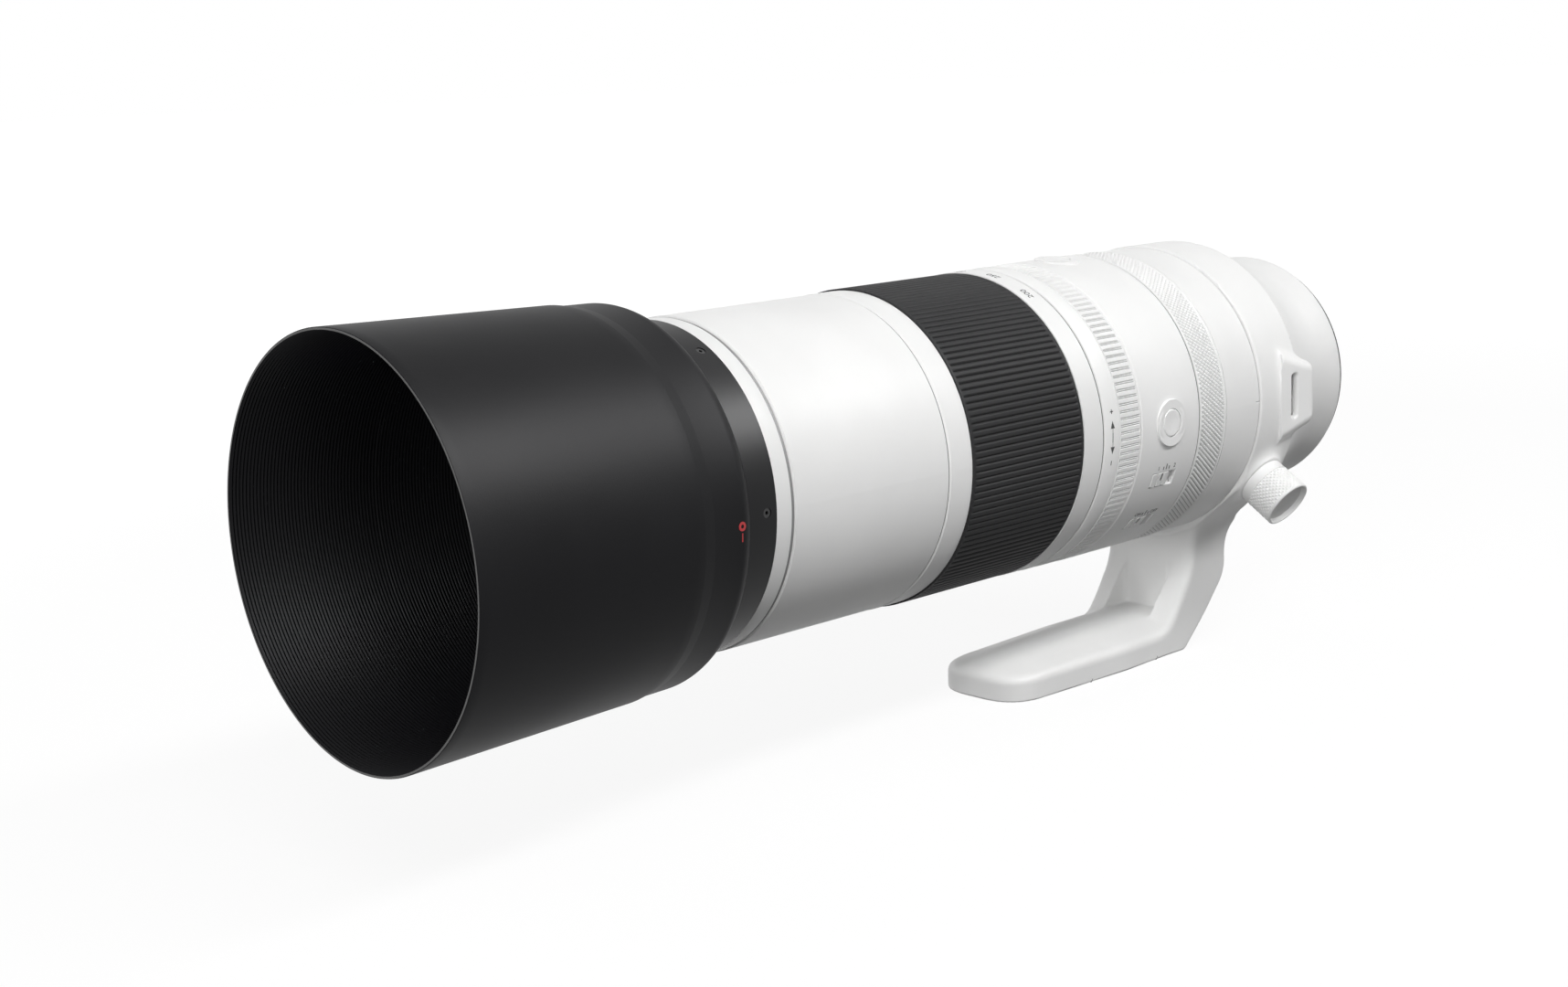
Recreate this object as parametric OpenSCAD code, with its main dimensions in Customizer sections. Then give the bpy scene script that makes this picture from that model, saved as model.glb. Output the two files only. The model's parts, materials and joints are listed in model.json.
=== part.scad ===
// Telephoto zoom lens with lens hood and tripod collar
// Origin at the centre of the camera flange face, optical axis along Y, front towards -Y, foot towards -Z
// Distances named _d are measured forwards from the flange face along the optical axis

/* [Lens hood] */
// How far the hood stands in front of the lens's front edge
hood_reach = 86.1; // [80:0.1:90]
// Radius of the hood at its front rim
hood_front_r = 59.26; // [59:0.01:60]
// How far the small outside step lies in front of the lens's front edge
hood_step_reach = 12.1; // [10:0.1:14]
// Radius in front of the step
hood_step_r = 57.15; // [57:0.01:57.6]
// Length of the step
hood_step_length = 4; // [3.5:0.1:4.5]
// Depth of the step
hood_step_depth = 0.67; // [0.6:0.01:0.8]
// Radius of the rounded rear shoulder
hood_shoulder_r = 5.4; // [5.2:0.1:5.6]
// Length of the hood's neck, from its rear edge to the shoulder
hood_neck_length = 7.7; // [7:0.1:8.5]
// Wall at the front rim
hood_rim_wall = 1.06; // [1:0.02:1.3]
// Wall of the hood's cone
hood_wall = 2.4; // [2.2:0.1:2.8]
// Width of one bayonet lug in degrees
hood_lug_angle = 20; // [16:1:24]
// Turn that frees the hood, in degrees
hood_turn = 45; // [40:1:50]

/* [Front group] */
// Length of the black front ring
front_ring_length = 20.7; // [20:0.1:22]
// Radius of the black front ring
front_ring_r = 49.65; // [49.5:0.01:49.8]
// Width of the pale band
front_band_width = 6.3; // [5.5:0.1:6.8]
// Radius of the filter thread's wall
filter_thread_r = 47.1; // [47:0.05:47.3]
// Length of the filter thread
filter_thread_length = 5.5; // [5:0.1:5.8]
// Radius of the front glass
front_glass_r = 44.5; // [43.5:0.1:44.8]
// Edge thickness of the front glass
front_glass_edge = 3.8; // [3.4:0.1:4]
// Height of the front glass's dome
front_glass_height = 3.6; // [3:0.1:3.8]
// Length of the front retaining ring
front_retainer_t = 4; // [3.8:0.1:4.4]
// Radius of a set screw in the black ring
set_screw_r = 1.4; // [1.2:0.1:1.6]
// Number of set screws
set_screws = 6; // [3:1:6]
// Outer radius of the extending tube
front_tube_r = 46; // [45.8:0.05:46.1]
// Wall of the extending tube
front_tube_wall = 1.7; // [1.5:0.05:1.75]

/* [Zoom mechanism] */
// Forward travel of the front group
zoom_travel = 100; // [90:1:102]
// Turn of the zoom ring in degrees
zoom_turn = 100; // [90:1:104]
// Forward travel of the inner zoom group
variator_travel = 40; // [30:1:44]
// Radius of a cam follower
follower_r = 2.5; // [2:0.1:2.8]
// Outer radius of the guide tube
guide_tube_r = 41.8; // [41.6:0.05:41.9]
// Wall of the guide tube
guide_tube_wall = 2.3; // [2:0.05:2.4]
// Wall of the cam tube
cam_tube_wall = 2.1; // [1.8:0.05:2.2]
// Outer radius of the fixed tube
fixed_tube_r = 47.6; // [47.5:0.05:47.7]
// Wall of the fixed tube
fixed_tube_wall = 1.3; // [1.1:0.05:1.35]
// Length of the zoom ring
zoom_length = 71.5; // [70:0.1:74]
// Radius of the zoom ring's rear lip
zoom_ring_r = 50.9; // [50.7:0.05:51.1]
// Radius of the zoom ring's front lip
zoom_lip_r = 50.15; // [50:0.05:50.3]
// Width of the ribbed rubber grip
grip_width = 52.2; // [48:0.1:53]
// Width of the zoom ring's smooth band behind the grip
zoom_scale_width = 9.65; // [9:0.05:10.5]
// Radius of the grip over its ribs
grip_r = 50.35; // [50.2:0.05:50.6]
// Thickness of the grip
grip_t = 1.3; // [1.1:0.05:1.5]
// Radius of the main barrel
main_barrel_r = 50; // [49.8:0.05:50.15]
// Length of the main barrel
main_barrel_length = 63.1; // [60:0.1:66]

/* [Control section] */
// Radius of the tension ring
tension_ring_r = 51.2; // [51:0.05:51.4]
// Width of the tension ring
tension_width = 18.5; // [17:0.1:20]
// Radius of the barrel that carries the switches
function_barrel_r = 51.35; // [51.2:0.05:51.5]
// Width of the barrel that carries the switches
function_width = 31.3; // [30:0.1:34]
// Radius of the knurled control ring
control_ring_r = 51.35; // [51.2:0.05:51.5]
// Width of the control ring
control_width = 14.9; // [13:0.1:17]
// Radius of the barrel behind the control ring
index_barrel_r = 51; // [50.9:0.05:51.1]
// Width of the barrel behind the control ring
index_width = 19.5; // [18:0.1:22]
// Radius of the control ring's seat
control_seat_r = 48.4; // [48.2:0.1:48.6]
// Radius of the tension ring's seat
tension_seat_r = 48.9; // [48.8:0.05:49]
// Radius of a push button
button_r = 4.6; // [4.2:0.1:5]
// Radius of the button's raised surround
button_surround_r = 7.7; // [7.2:0.1:8.2]
// Travel of a push button
button_travel = 0.6; // [0.4:0.1:0.8]
// Angle of the side button above +X
side_button_angle = 0; // [-4:1:4]
// Angle of the top button above +X
top_button_angle = 86; // [82:1:90]
// Angle of the focus switch above +X
focus_switch_angle = -22; // [-25:1:-20]
// Angle of the stabiliser switch above +X
stabiliser_switch_angle = -43; // [-46:1:-41]
// Height of a switch's window
switch_window_height = 5.6; // [5:0.1:6]
// Length of a switch's slider
switch_slider_length = 9; // [8:0.2:9.4]
// Travel of a switch
switch_travel = 3; // [2.5:0.1:3.2]

/* [Tripod collar] */
// Outer radius of the collar ring
collar_r = 50.95; // [50.8:0.05:51.1]
// Distance of the collar's rear face, the length of the rear barrel behind it
collar_rear_d = 44.1; // [42:0.1:46]
// Width of the collar ring
collar_width = 21.8; // [21:0.1:24]
// Radius of the barrel seat that the collar turns on
collar_seat_r = 45; // [44.8:0.1:45.2]
// Thickness of the collar's friction liner
collar_liner_t = 0.9; // [0.8:0.05:1]
// Height of the foot's underside below the axis
foot_z = 94; // [92:0.5:98]
// Length of the foot's underside
foot_length = 93; // [86:0.5:98]
// Half width of the foot
foot_half_width = 19; // [17:0.5:20]
// Half width of the foot's raised middle
foot_core_half_width = 10.5; // [9:0.5:12]
// Height of the foot's side wall
foot_wall_height = 6.5; // [5.5:0.5:7.5]
// Whole thickness of the foot
foot_height = 12.5; // [12:0.5:13.5]
// Length of the rubber pad under the foot
foot_pad_length = 37; // [34:0.5:38]
// Thickness of the rubber pad
foot_pad_t = 1; // [0.8:0.1:1.2]
// Wall radius of the small tripod thread
small_thread_r = 2.6; // [2.55:0.05:2.7]
// Wall radius of the large tripod thread
large_thread_r = 4; // [3.95:0.05:4.1]
// Depth of the tripod threads
tripod_thread_depth = 8; // [7:0.5:8.5]
// Angle of the lock knob above +X
knob_angle = -33.7; // [-36:0.1:-31]
// Radius of the lock knob
knob_r = 9; // [8.5:0.1:9.2]
// Length of the lock knob
knob_length = 14; // [12:0.5:15]
// Radius of the lock screw
lock_screw_r = 2.5; // [2.3:0.1:2.6]
// Half height of a strap lug
lug_half_height = 14.5; // [14:0.5:15]
// Reach of a strap lug's face from the axis
lug_reach = 54.5; // [54:0.1:55]
// Width of the strap slot
strap_slot_width = 2.8; // [2.4:0.1:3]
// Length of the strap slot
strap_slot_length = 16; // [15:0.5:17]

/* [Camera mount] */
// Outer radius of the bayonet's flange
flange_r = 34.6; // [34.4:0.1:34.8]
// Thickness of the flange
flange_t = 3; // [2.8:0.1:3.2]
// Outer radius of the bayonet's spigot
spigot_r = 25.6; // [25.4:0.1:25.7]
// Bore radius of the spigot
spigot_bore_r = 23.6; // [23.4:0.1:23.7]
// Length of the spigot behind the flange face
spigot_length = 5.8; // [5.5:0.1:6]
// Radius over the bayonet lugs
bayonet_r = 26.9; // [26.7:0.05:27]
// Radius of the rear barrel at its rear rim
rear_rim_r = 42.4; // [42:0.1:42.8]
// Radius of the rear barrel's waist
waist_r = 41.3; // [41:0.1:41.6]
// Outer radius of the mount's rubber skirt
skirt_r = 40.3; // [39.8:0.1:40.6]
// Number of electrical contacts
contacts = 12; // [8:1:12]

/* [Iris] */
// Radius of the open aperture
aperture_r = 25.5; // [25:0.1:26]
// Turn of a blade in degrees
blade_turn = 30; // [24:1:30]
// Turn of the drive ring in degrees
iris_turn = 10; // [9:1:11]

/* [Fits] */
// Radial clearance of running fits
running_fit = 0.05; // [0.03:0.01:0.08]
// Clearance between pieces that move past each other
gap = 0.3; // [0.25:0.05:0.35]

/* [Hidden] */
$fn = 96;

// Colours
white = [0.93, 0.93, 0.92];
black = [0.09, 0.09, 0.1];
dark_metal = [0.2, 0.2, 0.21];
metal = [0.72, 0.73, 0.75];
glass_tint = [0.55, 0.68, 0.72, 0.5];
gold = [0.83, 0.66, 0.3];
board_green = [0.1, 0.35, 0.2];

// Overlap that makes cuts run cleanly past a face
over = 1;
chamfer = 0.4;

// Distances along the axis: each piece starts where the one behind it ends
collar_front_d = collar_rear_d + collar_width;
wall_d = collar_front_d + gap;
control_rear_d = wall_d + index_width + gap;
function_rear_d = control_rear_d + control_width + gap;
tension_rear_d = function_rear_d + function_width + gap;
zoom_rear_d = tension_rear_d + tension_width + gap;
grip_rear_d = zoom_rear_d + zoom_scale_width;
zoom_front_d = zoom_rear_d + zoom_length;
main_barrel_rear_d = zoom_front_d + gap;
main_barrel_front_d = main_barrel_rear_d + main_barrel_length;
front_band_rear_d = main_barrel_front_d + 2 * gap;
front_ring_rear_d = front_band_rear_d + front_band_width;
front_d = front_ring_rear_d + front_ring_length;
button_d = function_rear_d + function_width / 2;

// Buttons and switches
switch_window_length = switch_slider_length + switch_travel + 2 * gap;
switch_floor_r = 49.6;
switch_slider_t = 1.2;
button_surround_h = 0.35;
button_root_r = 49.8;
button_well_r = button_root_r - button_travel - gap;

// Rear barrel and mount
screw_circle_r = 30;
screw_r = 1;
screw_head_r = 1.9;
screw_end_d = flange_t + 3;
rear_wall_d = flange_t + 4;
rear_bore_r = 38.6;
rear_cell_seat_d = rear_wall_d + 27;
waist_d = collar_rear_d - 23.1;
rim_d = 6.2;
skirt_bore_r = 36;
skirt_t = 1.3;
board_d = rear_wall_d + 3;
board_t = 1.6;
board_bore_r = 27;
contact_bore_r = 20.4;
contact_rear = -5;
contact_radius = 22;
rear_glass_r = 26;
rear_glass_d = 22;
rear_glass_edge = 9;
rear_cell_lip = 2;
inner_wall_t = 2.8;
inner_wall_bore_r = 33;

// Zoom tubes, one inside the other
guide_bore_r = guide_tube_r - guide_tube_wall;
cam_bore_r = guide_tube_r + running_fit;
cam_tube_r = cam_bore_r + cam_tube_wall;
front_tube_bore_r = front_tube_r - front_tube_wall;
fixed_bore_r = fixed_tube_r - fixed_tube_wall;
shell_bore_r = fixed_tube_r + running_fit;
barrel_bore_r = fixed_bore_r + 0.1;
stabiliser_d = function_rear_d + inner_wall_t;
stabiliser_length = 13;
fixed_tube_rear_d = stabiliser_d + stabiliser_length + 1;
guide_tube_rear_d = fixed_tube_rear_d + 10;
guide_flange_t = 3;
cam_tube_rear_d = guide_tube_rear_d + guide_flange_t + 3;
follower_d = zoom_rear_d + 16.4;
front_tube_rear_d = follower_d - 6;
cam_tube_front_d = follower_d + zoom_travel + 6;
guide_tube_front_d = cam_tube_front_d + 2;
variator_length = 20;
variator_pin_d = follower_d + 42;
variator_d = variator_pin_d - variator_length / 2;
variator_glass_r = 33;
variator_glass_t = 8;
variator_lip = 4;
key_width = 8;
key_length = 6;
key_d = zoom_rear_d + 1.5;
key_depth = 1.4;

// Front group
glass_seat_d = front_d - filter_thread_length - front_retainer_t - front_glass_edge;
glass_lip_t = 1.5;
retainer_r = filter_thread_r - 1.5;
front_tube_front_d = glass_seat_d - glass_lip_t;
set_screw_d = front_ring_rear_d + 3.6;
set_screw_depth = 0.8;
hood_groove_width = 3;
hood_groove_d = front_d - 2.9 - hood_groove_width;
hood_groove_r = 48.4;
hood_bore_r = front_ring_r + gap;
hood_rear_d = front_ring_rear_d + 10.8;
hood_rear_r = hood_bore_r + 0.3;
hood_shoulder_d = hood_rear_d + hood_neck_length;
hood_step_d = front_d + hood_step_reach;
hood_front_d = front_d + hood_reach;
second_glass_d = front_ring_rear_d - 9.4;
second_glass_edge = 7;
second_glass_lip = 2.8;

// Tripod collar and foot
collar_bore_r = collar_seat_r + running_fit + collar_liner_t;
foot_rear_d = collar_front_d + 0.1;
foot_front_d = foot_rear_d + foot_length;
foot_joint_y = -foot_rear_d - 22;
neck_rear_y = -collar_rear_d + 1.9;
neck_rib_y = -collar_rear_d - 14.4;
neck_front_y = -collar_front_d - 6.1;
neck_bend_z = -collar_r - 20.5;
flare_z = -collar_r - 7;
flare_top_z = -collar_r + 7.8;
knob_d = collar_rear_d + 11.5;
knob_base_r = collar_r + 2.25;
strap_slot_d = collar_rear_d + 3.9;
lug_front_d = strap_slot_d + 6;
lug_rear_d = strap_slot_d - 9;
pad_rear_d = foot_rear_d + 16.3;
bush_r = 6;
small_thread_y = -pad_rear_d - foot_pad_length * 0.28;
large_thread_y = -pad_rear_d - foot_pad_length * 0.72;

// Iris
blades = 9;
iris_d = guide_tube_rear_d + guide_flange_t;
iris_plate_t = 2;
blade_t = 0.2;
blade_pitch = 0.45;
blade_outer_r = 33;
blade_tail_r = 36.4;
blade_pivot_r = 35.2;
blade_pin_r = 0.7;
drive_pin_r = 0.55;
drive_pin_angle = 8;
iris_ring_d = iris_d + iris_plate_t + (blades + 1) * blade_pitch;
iris_ring_t = 1.5;
iris_ring_r = 37.2;
iris_ring_bore_r = 30.8;

// Stabiliser and focus group
stabiliser_plate_t = 3;
stabiliser_bore_r = 24;
stabiliser_room_r = 38;
stabiliser_frame_r = 37.2;
stabiliser_frame_bore_r = 30;
stabiliser_frame_t = 4.7;
stabiliser_cell_r = 29.2;
stabiliser_glass_r = 25;
stabiliser_glass_t = 5;
stabiliser_glass_d = stabiliser_d + stabiliser_plate_t + 2;
focus_d = wall_d + 13.8;
focus_length = 12;
focus_cell_r = 35;
focus_glass_r = 28;
focus_glass_edge = 6;
focus_lip = 3;
rod_r = 1.5;
rod_radius = 38;
motor_bore_r = 41;

// Points of an arc about [x, y], from angle a to angle b
function arc(x, y, r, a, b, steps = 6) =
    [for (i = [0:steps]) let (t = a + (b - a) * i / steps) [x + r * cos(t), y + r * sin(t)]];
// Point at a radius and an angle
function polar(r, angle) = [r * cos(angle), r * sin(angle)];
// Points of a lens surface: a parabola of a given height over an edge at distance d
function lens_curve(r, d, height, steps = 8) =
    [for (i = [0:steps]) let (x = r * i / steps) [x, d + height * (1 - pow(i / steps, 2))]];
function reversed(list) = [for (i = [len(list) - 1:-1:0]) list[i]];

// Children drawn with +Z forwards along the optical axis and +Y up
module on_axis() rotate([90, 0, 0]) children();
// Solid of revolution about the optical axis from points [radius, distance]
module turned(points) on_axis() rotate_extrude() polygon(points);
// Plain tube between two distances
module sleeve(r_out, r_in, from, to)
    turned([[r_in, from], [r_out, from], [r_out, to], [r_in, to]]);
// Tube with small chamfers on its two outer edges
module soft_sleeve(r_out, r_in, from, to)
    turned([[r_in, from], [r_out - chamfer, from], [r_out, from + chamfer],
            [r_out, to - chamfer], [r_out - chamfer, to], [r_in, to]]);
// Solid disc between two distances
module disc(r, from, to) on_axis() translate([0, 0, from]) cylinder(r = r, h = to - from);
// Children drawn along +X, turned up to an angle and moved forwards to a distance
module outwards(angle, d) translate([0, -d, 0]) rotate([0, -angle, 0]) children();
// Radial cylinder between two radii at an angle and a distance
module radial_pin(r, from, to, angle, d)
    outwards(angle, d) translate([from, 0, 0]) rotate([0, 90, 0]) cylinder(r = r, h = to - from);
// Sector of a ring between two angles
module sector(r_out, r_in, from, to, angle_a, angle_b)
    on_axis() translate([0, 0, from]) rotate(angle_a)
        rotate_extrude(angle = angle_b - angle_a)
            translate([r_in, 0]) square([r_out - r_in, to - from]);
// Glass element with curved faces; a negative height is hollow
module glass(r, from, to, rear_height, front_height)
    turned(concat(reversed(lens_curve(r, from, -rear_height)), lens_curve(r, to, front_height)));
// Curved cam slot: leaves the axis angle by -turn while it runs forwards
module cam_slot(angle, from, travel, turn, half_angle) {
    margin = follower_r + gap;
    rate = turn / travel;
    length = travel + 2 * margin;
    on_axis() translate([0, 0, from - margin]) rotate(angle + margin * rate)
        linear_extrude(height = length, twist = length * rate, slices = 24, $fn = 4)
            polygon([polar(cam_bore_r - over, -half_angle), polar(cam_tube_r + over, -half_angle),
                     polar(cam_tube_r + over, half_angle), polar(cam_bore_r - over, half_angle)]);
}
// Straight guide slot along the axis
module guide_slot(angle, from, travel, r_in, r_out) {
    half = follower_r + gap;
    outwards(angle, from - half)
        translate([r_in, -travel - 2 * half, -half])
            cube([r_out - r_in, travel + 2 * half, 2 * half]);
}

// Camera mount
module mount_ring() color(metal) difference() {
    union() {
        turned([[spigot_bore_r, -spigot_length], [spigot_r, -spigot_length], [spigot_r, 0.8],
                [bayonet_r + gap, 0.8], [bayonet_r + gap, 0], [flange_r - chamfer, 0],
                [flange_r, chamfer], [flange_r, flange_t], [spigot_bore_r, flange_t]]);
        for (angle = [20, 140, 260])
            sector(bayonet_r, spigot_r - 0.2, -3.6, -1.6, angle, angle + 46);
    }
    for (angle = [45:90:315]) mount_screw(angle, running_fit);
}
// One countersunk mount screw
module mount_screw(angle, clearance)
    on_axis() rotate(angle) translate([screw_circle_r, 0, 0]) rotate_extrude()
        polygon([[0, 0.2 - (clearance > 0 ? over : 0)],
                 [screw_head_r + clearance, 0.2 - (clearance > 0 ? over : 0)],
                 [screw_head_r + clearance, 0.4], [screw_r + clearance, 0.4 + screw_head_r - screw_r],
                 [screw_r + clearance, screw_end_d], [0, screw_end_d]]);
module mount_screws() color(metal) for (angle = [45:90:315]) mount_screw(angle, 0);
module mount_skirt() color(black)
    turned([[skirt_bore_r, 0.1], [skirt_r - 0.5, 0.1], [skirt_r, 0.6],
            [skirt_r, 0.1 + skirt_t], [skirt_bore_r, 0.1 + skirt_t]]);
module contact_block() color(black)
    sector(spigot_bore_r - running_fit, contact_bore_r, contact_rear, flange_t - 0.5, 232, 308);
module contact_pins() color(gold)
    for (i = [0:contacts - 1])
        on_axis() rotate(270 + (i - (contacts - 1) / 2) * 5.8)
            translate([contact_radius, 0, contact_rear - 0.25]) cylinder(r = 0.75, h = 0.25, $fn = 24);
module circuit_board() color(board_green) 
    sleeve(rear_bore_r - 0.2, board_bore_r, board_d, board_d + board_t);

// Rear barrel, with the seat of the tripod collar
module rear_barrel() color(white) difference() {
    turned(concat(
        [[flange_r + gap, 0.1 + skirt_t], [rear_rim_r - 1.6, 0.1 + skirt_t]],
        arc(rear_rim_r - 1.6, 1.7 + skirt_t, 1.6, -90, 0, 4),
        [[rear_rim_r, rim_d], [waist_r, waist_d], [collar_r - 1, collar_rear_d - gap],
         [collar_seat_r, collar_rear_d - gap], [collar_seat_r, wall_d], [collar_seat_r - 3, wall_d],
         [collar_seat_r - 3, rear_cell_seat_d + 6], [rear_bore_r, rear_cell_seat_d + 2],
         [rear_bore_r, rear_wall_d], [screw_circle_r - 1.5, rear_wall_d],
         [screw_circle_r - 1.5, flange_t], [flange_r + gap, flange_t]]));
    for (angle = [45:90:315])
        on_axis() rotate(angle) translate([screw_circle_r, 0, 0])
            cylinder(r = screw_r + running_fit, h = rear_wall_d + over);
}
module rear_lens_cell() color(dark_metal)
    turned([[rear_glass_r - 1.5, rear_glass_d - rear_cell_lip],
            [rear_bore_r - 0.1, rear_glass_d - rear_cell_lip],
            [rear_bore_r - 0.1, rear_cell_seat_d], [rear_glass_r + running_fit, rear_cell_seat_d],
            [rear_glass_r + running_fit, rear_glass_d], [rear_glass_r - 1.5, rear_glass_d]]);
module rear_lens() color(glass_tint)
    glass(rear_glass_r, rear_glass_d, rear_glass_d + rear_glass_edge, -3, 4);

// Barrel with the index mark, between collar and control ring
module index_barrel() color(white)
    turned([[inner_wall_bore_r, wall_d], [index_barrel_r - chamfer, wall_d], [index_barrel_r, wall_d + chamfer],
            [index_barrel_r, control_rear_d - gap - chamfer],
            [index_barrel_r - chamfer, control_rear_d - gap], [control_seat_r, control_rear_d - gap],
            [control_seat_r, function_rear_d], [barrel_bore_r, function_rear_d],
            [barrel_bore_r, wall_d + inner_wall_t],
            [inner_wall_bore_r, wall_d + inner_wall_t]]);

// Barrel with the buttons and switches, and the seat of the tension ring
module function_barrel() color(white) difference() {
    union() {
        turned([[barrel_bore_r, function_rear_d], [function_barrel_r - chamfer, function_rear_d],
                [function_barrel_r, function_rear_d + chamfer],
                [function_barrel_r, tension_rear_d - gap - chamfer],
                [function_barrel_r - chamfer, tension_rear_d - gap],
                [tension_seat_r, tension_rear_d - gap], [tension_seat_r, zoom_rear_d - gap],
                [shell_bore_r, zoom_rear_d - gap], [shell_bore_r, fixed_tube_rear_d],
                [barrel_bore_r, fixed_tube_rear_d]]);
        for (angle = [side_button_angle, top_button_angle])
            radial_pin(button_surround_r, button_root_r, function_barrel_r + button_surround_h,
                       angle, button_d);
    }
    for (angle = [side_button_angle, top_button_angle])
        radial_pin(button_r + gap / 2, button_well_r, function_barrel_r + 5, angle, button_d);
    for (angle = [focus_switch_angle, stabiliser_switch_angle])
        outwards(angle, button_d)
            translate([switch_floor_r, -switch_window_length / 2, -switch_window_height / 2])
                cube([5, switch_window_length, switch_window_height]);
}
// Push button that slides in its round well
module button(angle) color(white) outwards(angle, button_d)
    translate([button_root_r, 0, 0]) rotate([0, 90, 0]) union() {
        cylinder(r = button_r, h = function_barrel_r + 0.1 - button_root_r);
        translate([0, 0, function_barrel_r + 0.1 - button_root_r])
            cylinder(r1 = button_r, r2 = button_r - chamfer, h = chamfer);
    }
module side_button() button(side_button_angle);
module top_button() button(top_button_angle);
// Slider with three steps that runs along its window
module switch_slider(angle) color(white) outwards(angle, button_d)
    translate([switch_floor_r + gap / 2, -switch_window_length / 2 + gap, -switch_window_height / 2 + gap]) {
        cube([switch_slider_t, switch_slider_length, switch_window_height - 2 * gap]);
        for (i = [0:2])
            translate([switch_slider_t, i * switch_slider_length / 3 + 0.3, 0])
                cube([0.5, switch_slider_length / 3 - 0.6, switch_window_height - 2 * gap]);
    }
module focus_switch() switch_slider(focus_switch_angle);
module stabiliser_switch() switch_slider(stabiliser_switch_angle);

module tension_ring() color(white)
    soft_sleeve(tension_ring_r, tension_seat_r + running_fit, tension_rear_d, zoom_rear_d - gap);
module control_ring() color(white)
    soft_sleeve(control_ring_r, control_seat_r + running_fit, control_rear_d, function_rear_d - gap);

// Fixed tube under the zoom ring, with the slots for the drive keys
module fixed_tube() color(dark_metal) difference() {
    sleeve(fixed_tube_r, fixed_bore_r, fixed_tube_rear_d, main_barrel_front_d);
    for (angle = [0, 180])
        sector(fixed_tube_r + over, fixed_bore_r - over, key_d - gap, key_d + key_length + gap,
               angle - 6, angle + zoom_turn + 6);
}
module main_barrel() color(white)
    soft_sleeve(main_barrel_r, shell_bore_r, main_barrel_rear_d, main_barrel_front_d);
module guide_tube() color(dark_metal) difference() {
    union() {
        sleeve(guide_tube_r, guide_bore_r, guide_tube_rear_d, guide_tube_front_d);
        sleeve(fixed_bore_r - 0.02, guide_tube_r - 0.2, guide_tube_rear_d, guide_tube_rear_d + guide_flange_t);
    }
    for (angle = [90, 210, 330]) {
        guide_slot(angle, follower_d, zoom_travel, guide_bore_r - over, guide_tube_r + over);
        guide_slot(angle - 60, variator_pin_d, variator_travel, guide_bore_r - over, guide_tube_r + over);
    }
}
module zoom_ring() color(white) difference() {
    turned([[shell_bore_r, zoom_rear_d], [zoom_ring_r - chamfer, zoom_rear_d],
            [zoom_ring_r, zoom_rear_d + chamfer], [zoom_ring_r, grip_rear_d],
            [grip_r - grip_t, grip_rear_d], [grip_r - grip_t, grip_rear_d + grip_width],
            [zoom_lip_r, grip_rear_d + grip_width], [zoom_lip_r, zoom_front_d - chamfer],
            [zoom_lip_r - chamfer, zoom_front_d], [shell_bore_r, zoom_front_d]]);
    for (angle = [0, 180]) zoom_key(angle, running_fit);
}
module zoom_grip() color(black)
    sleeve(grip_r, grip_r - grip_t + running_fit, grip_rear_d + 0.05, grip_rear_d + grip_width - 0.05);
// Drive key from the zoom ring to the cam tube
module zoom_key(angle, clearance)
    outwards(angle, key_d)
        translate([cam_tube_r - 1, -key_length - clearance, -key_width / 2 - clearance])
            cube([shell_bore_r + key_depth - cam_tube_r + 1 + clearance, key_length + 2 * clearance,
                  key_width + 2 * clearance]);
module zoom_keys() color(metal) for (angle = [0, 180]) zoom_key(angle, 0);
module cam_tube() color(metal) difference() {
    sleeve(cam_tube_r, cam_bore_r, cam_tube_rear_d, cam_tube_front_d);
    for (angle = [90, 210, 330]) {
        cam_slot(angle, follower_d, zoom_travel, zoom_turn, 4.7);
        cam_slot(angle - 60, variator_pin_d, variator_travel, zoom_turn, 8.2);
    }
    for (angle = [0, 180]) zoom_key(angle, running_fit);
}

// Extending front group
module front_tube() color(white) difference() {
    turned([[front_tube_bore_r, front_tube_rear_d], [front_tube_r, front_tube_rear_d],
            [front_tube_r, front_tube_front_d], [front_tube_bore_r, front_tube_front_d],
            [front_tube_bore_r, second_glass_d],
            [front_tube_bore_r - second_glass_lip, second_glass_d],
            [front_tube_bore_r - second_glass_lip, second_glass_d - 2.5],
            [front_tube_bore_r, second_glass_d - 2.5]]);
    for (angle = [90, 210, 330])
        radial_pin(follower_r + running_fit, front_tube_bore_r - over, front_tube_r + over,
                   angle, follower_d);
    for (i = [0:set_screws - 1])
        radial_pin(set_screw_r + running_fit, front_tube_r - set_screw_depth, front_tube_r + over,
                   i * 360 / set_screws, set_screw_d);
}
module front_followers() color(gold)
    for (angle = [90, 210, 330])
        radial_pin(follower_r, guide_bore_r + gap, front_tube_r - 0.1, angle, follower_d);
module front_band() color(white)
    soft_sleeve(front_ring_r, front_tube_r + running_fit, front_band_rear_d, front_ring_rear_d);
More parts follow.
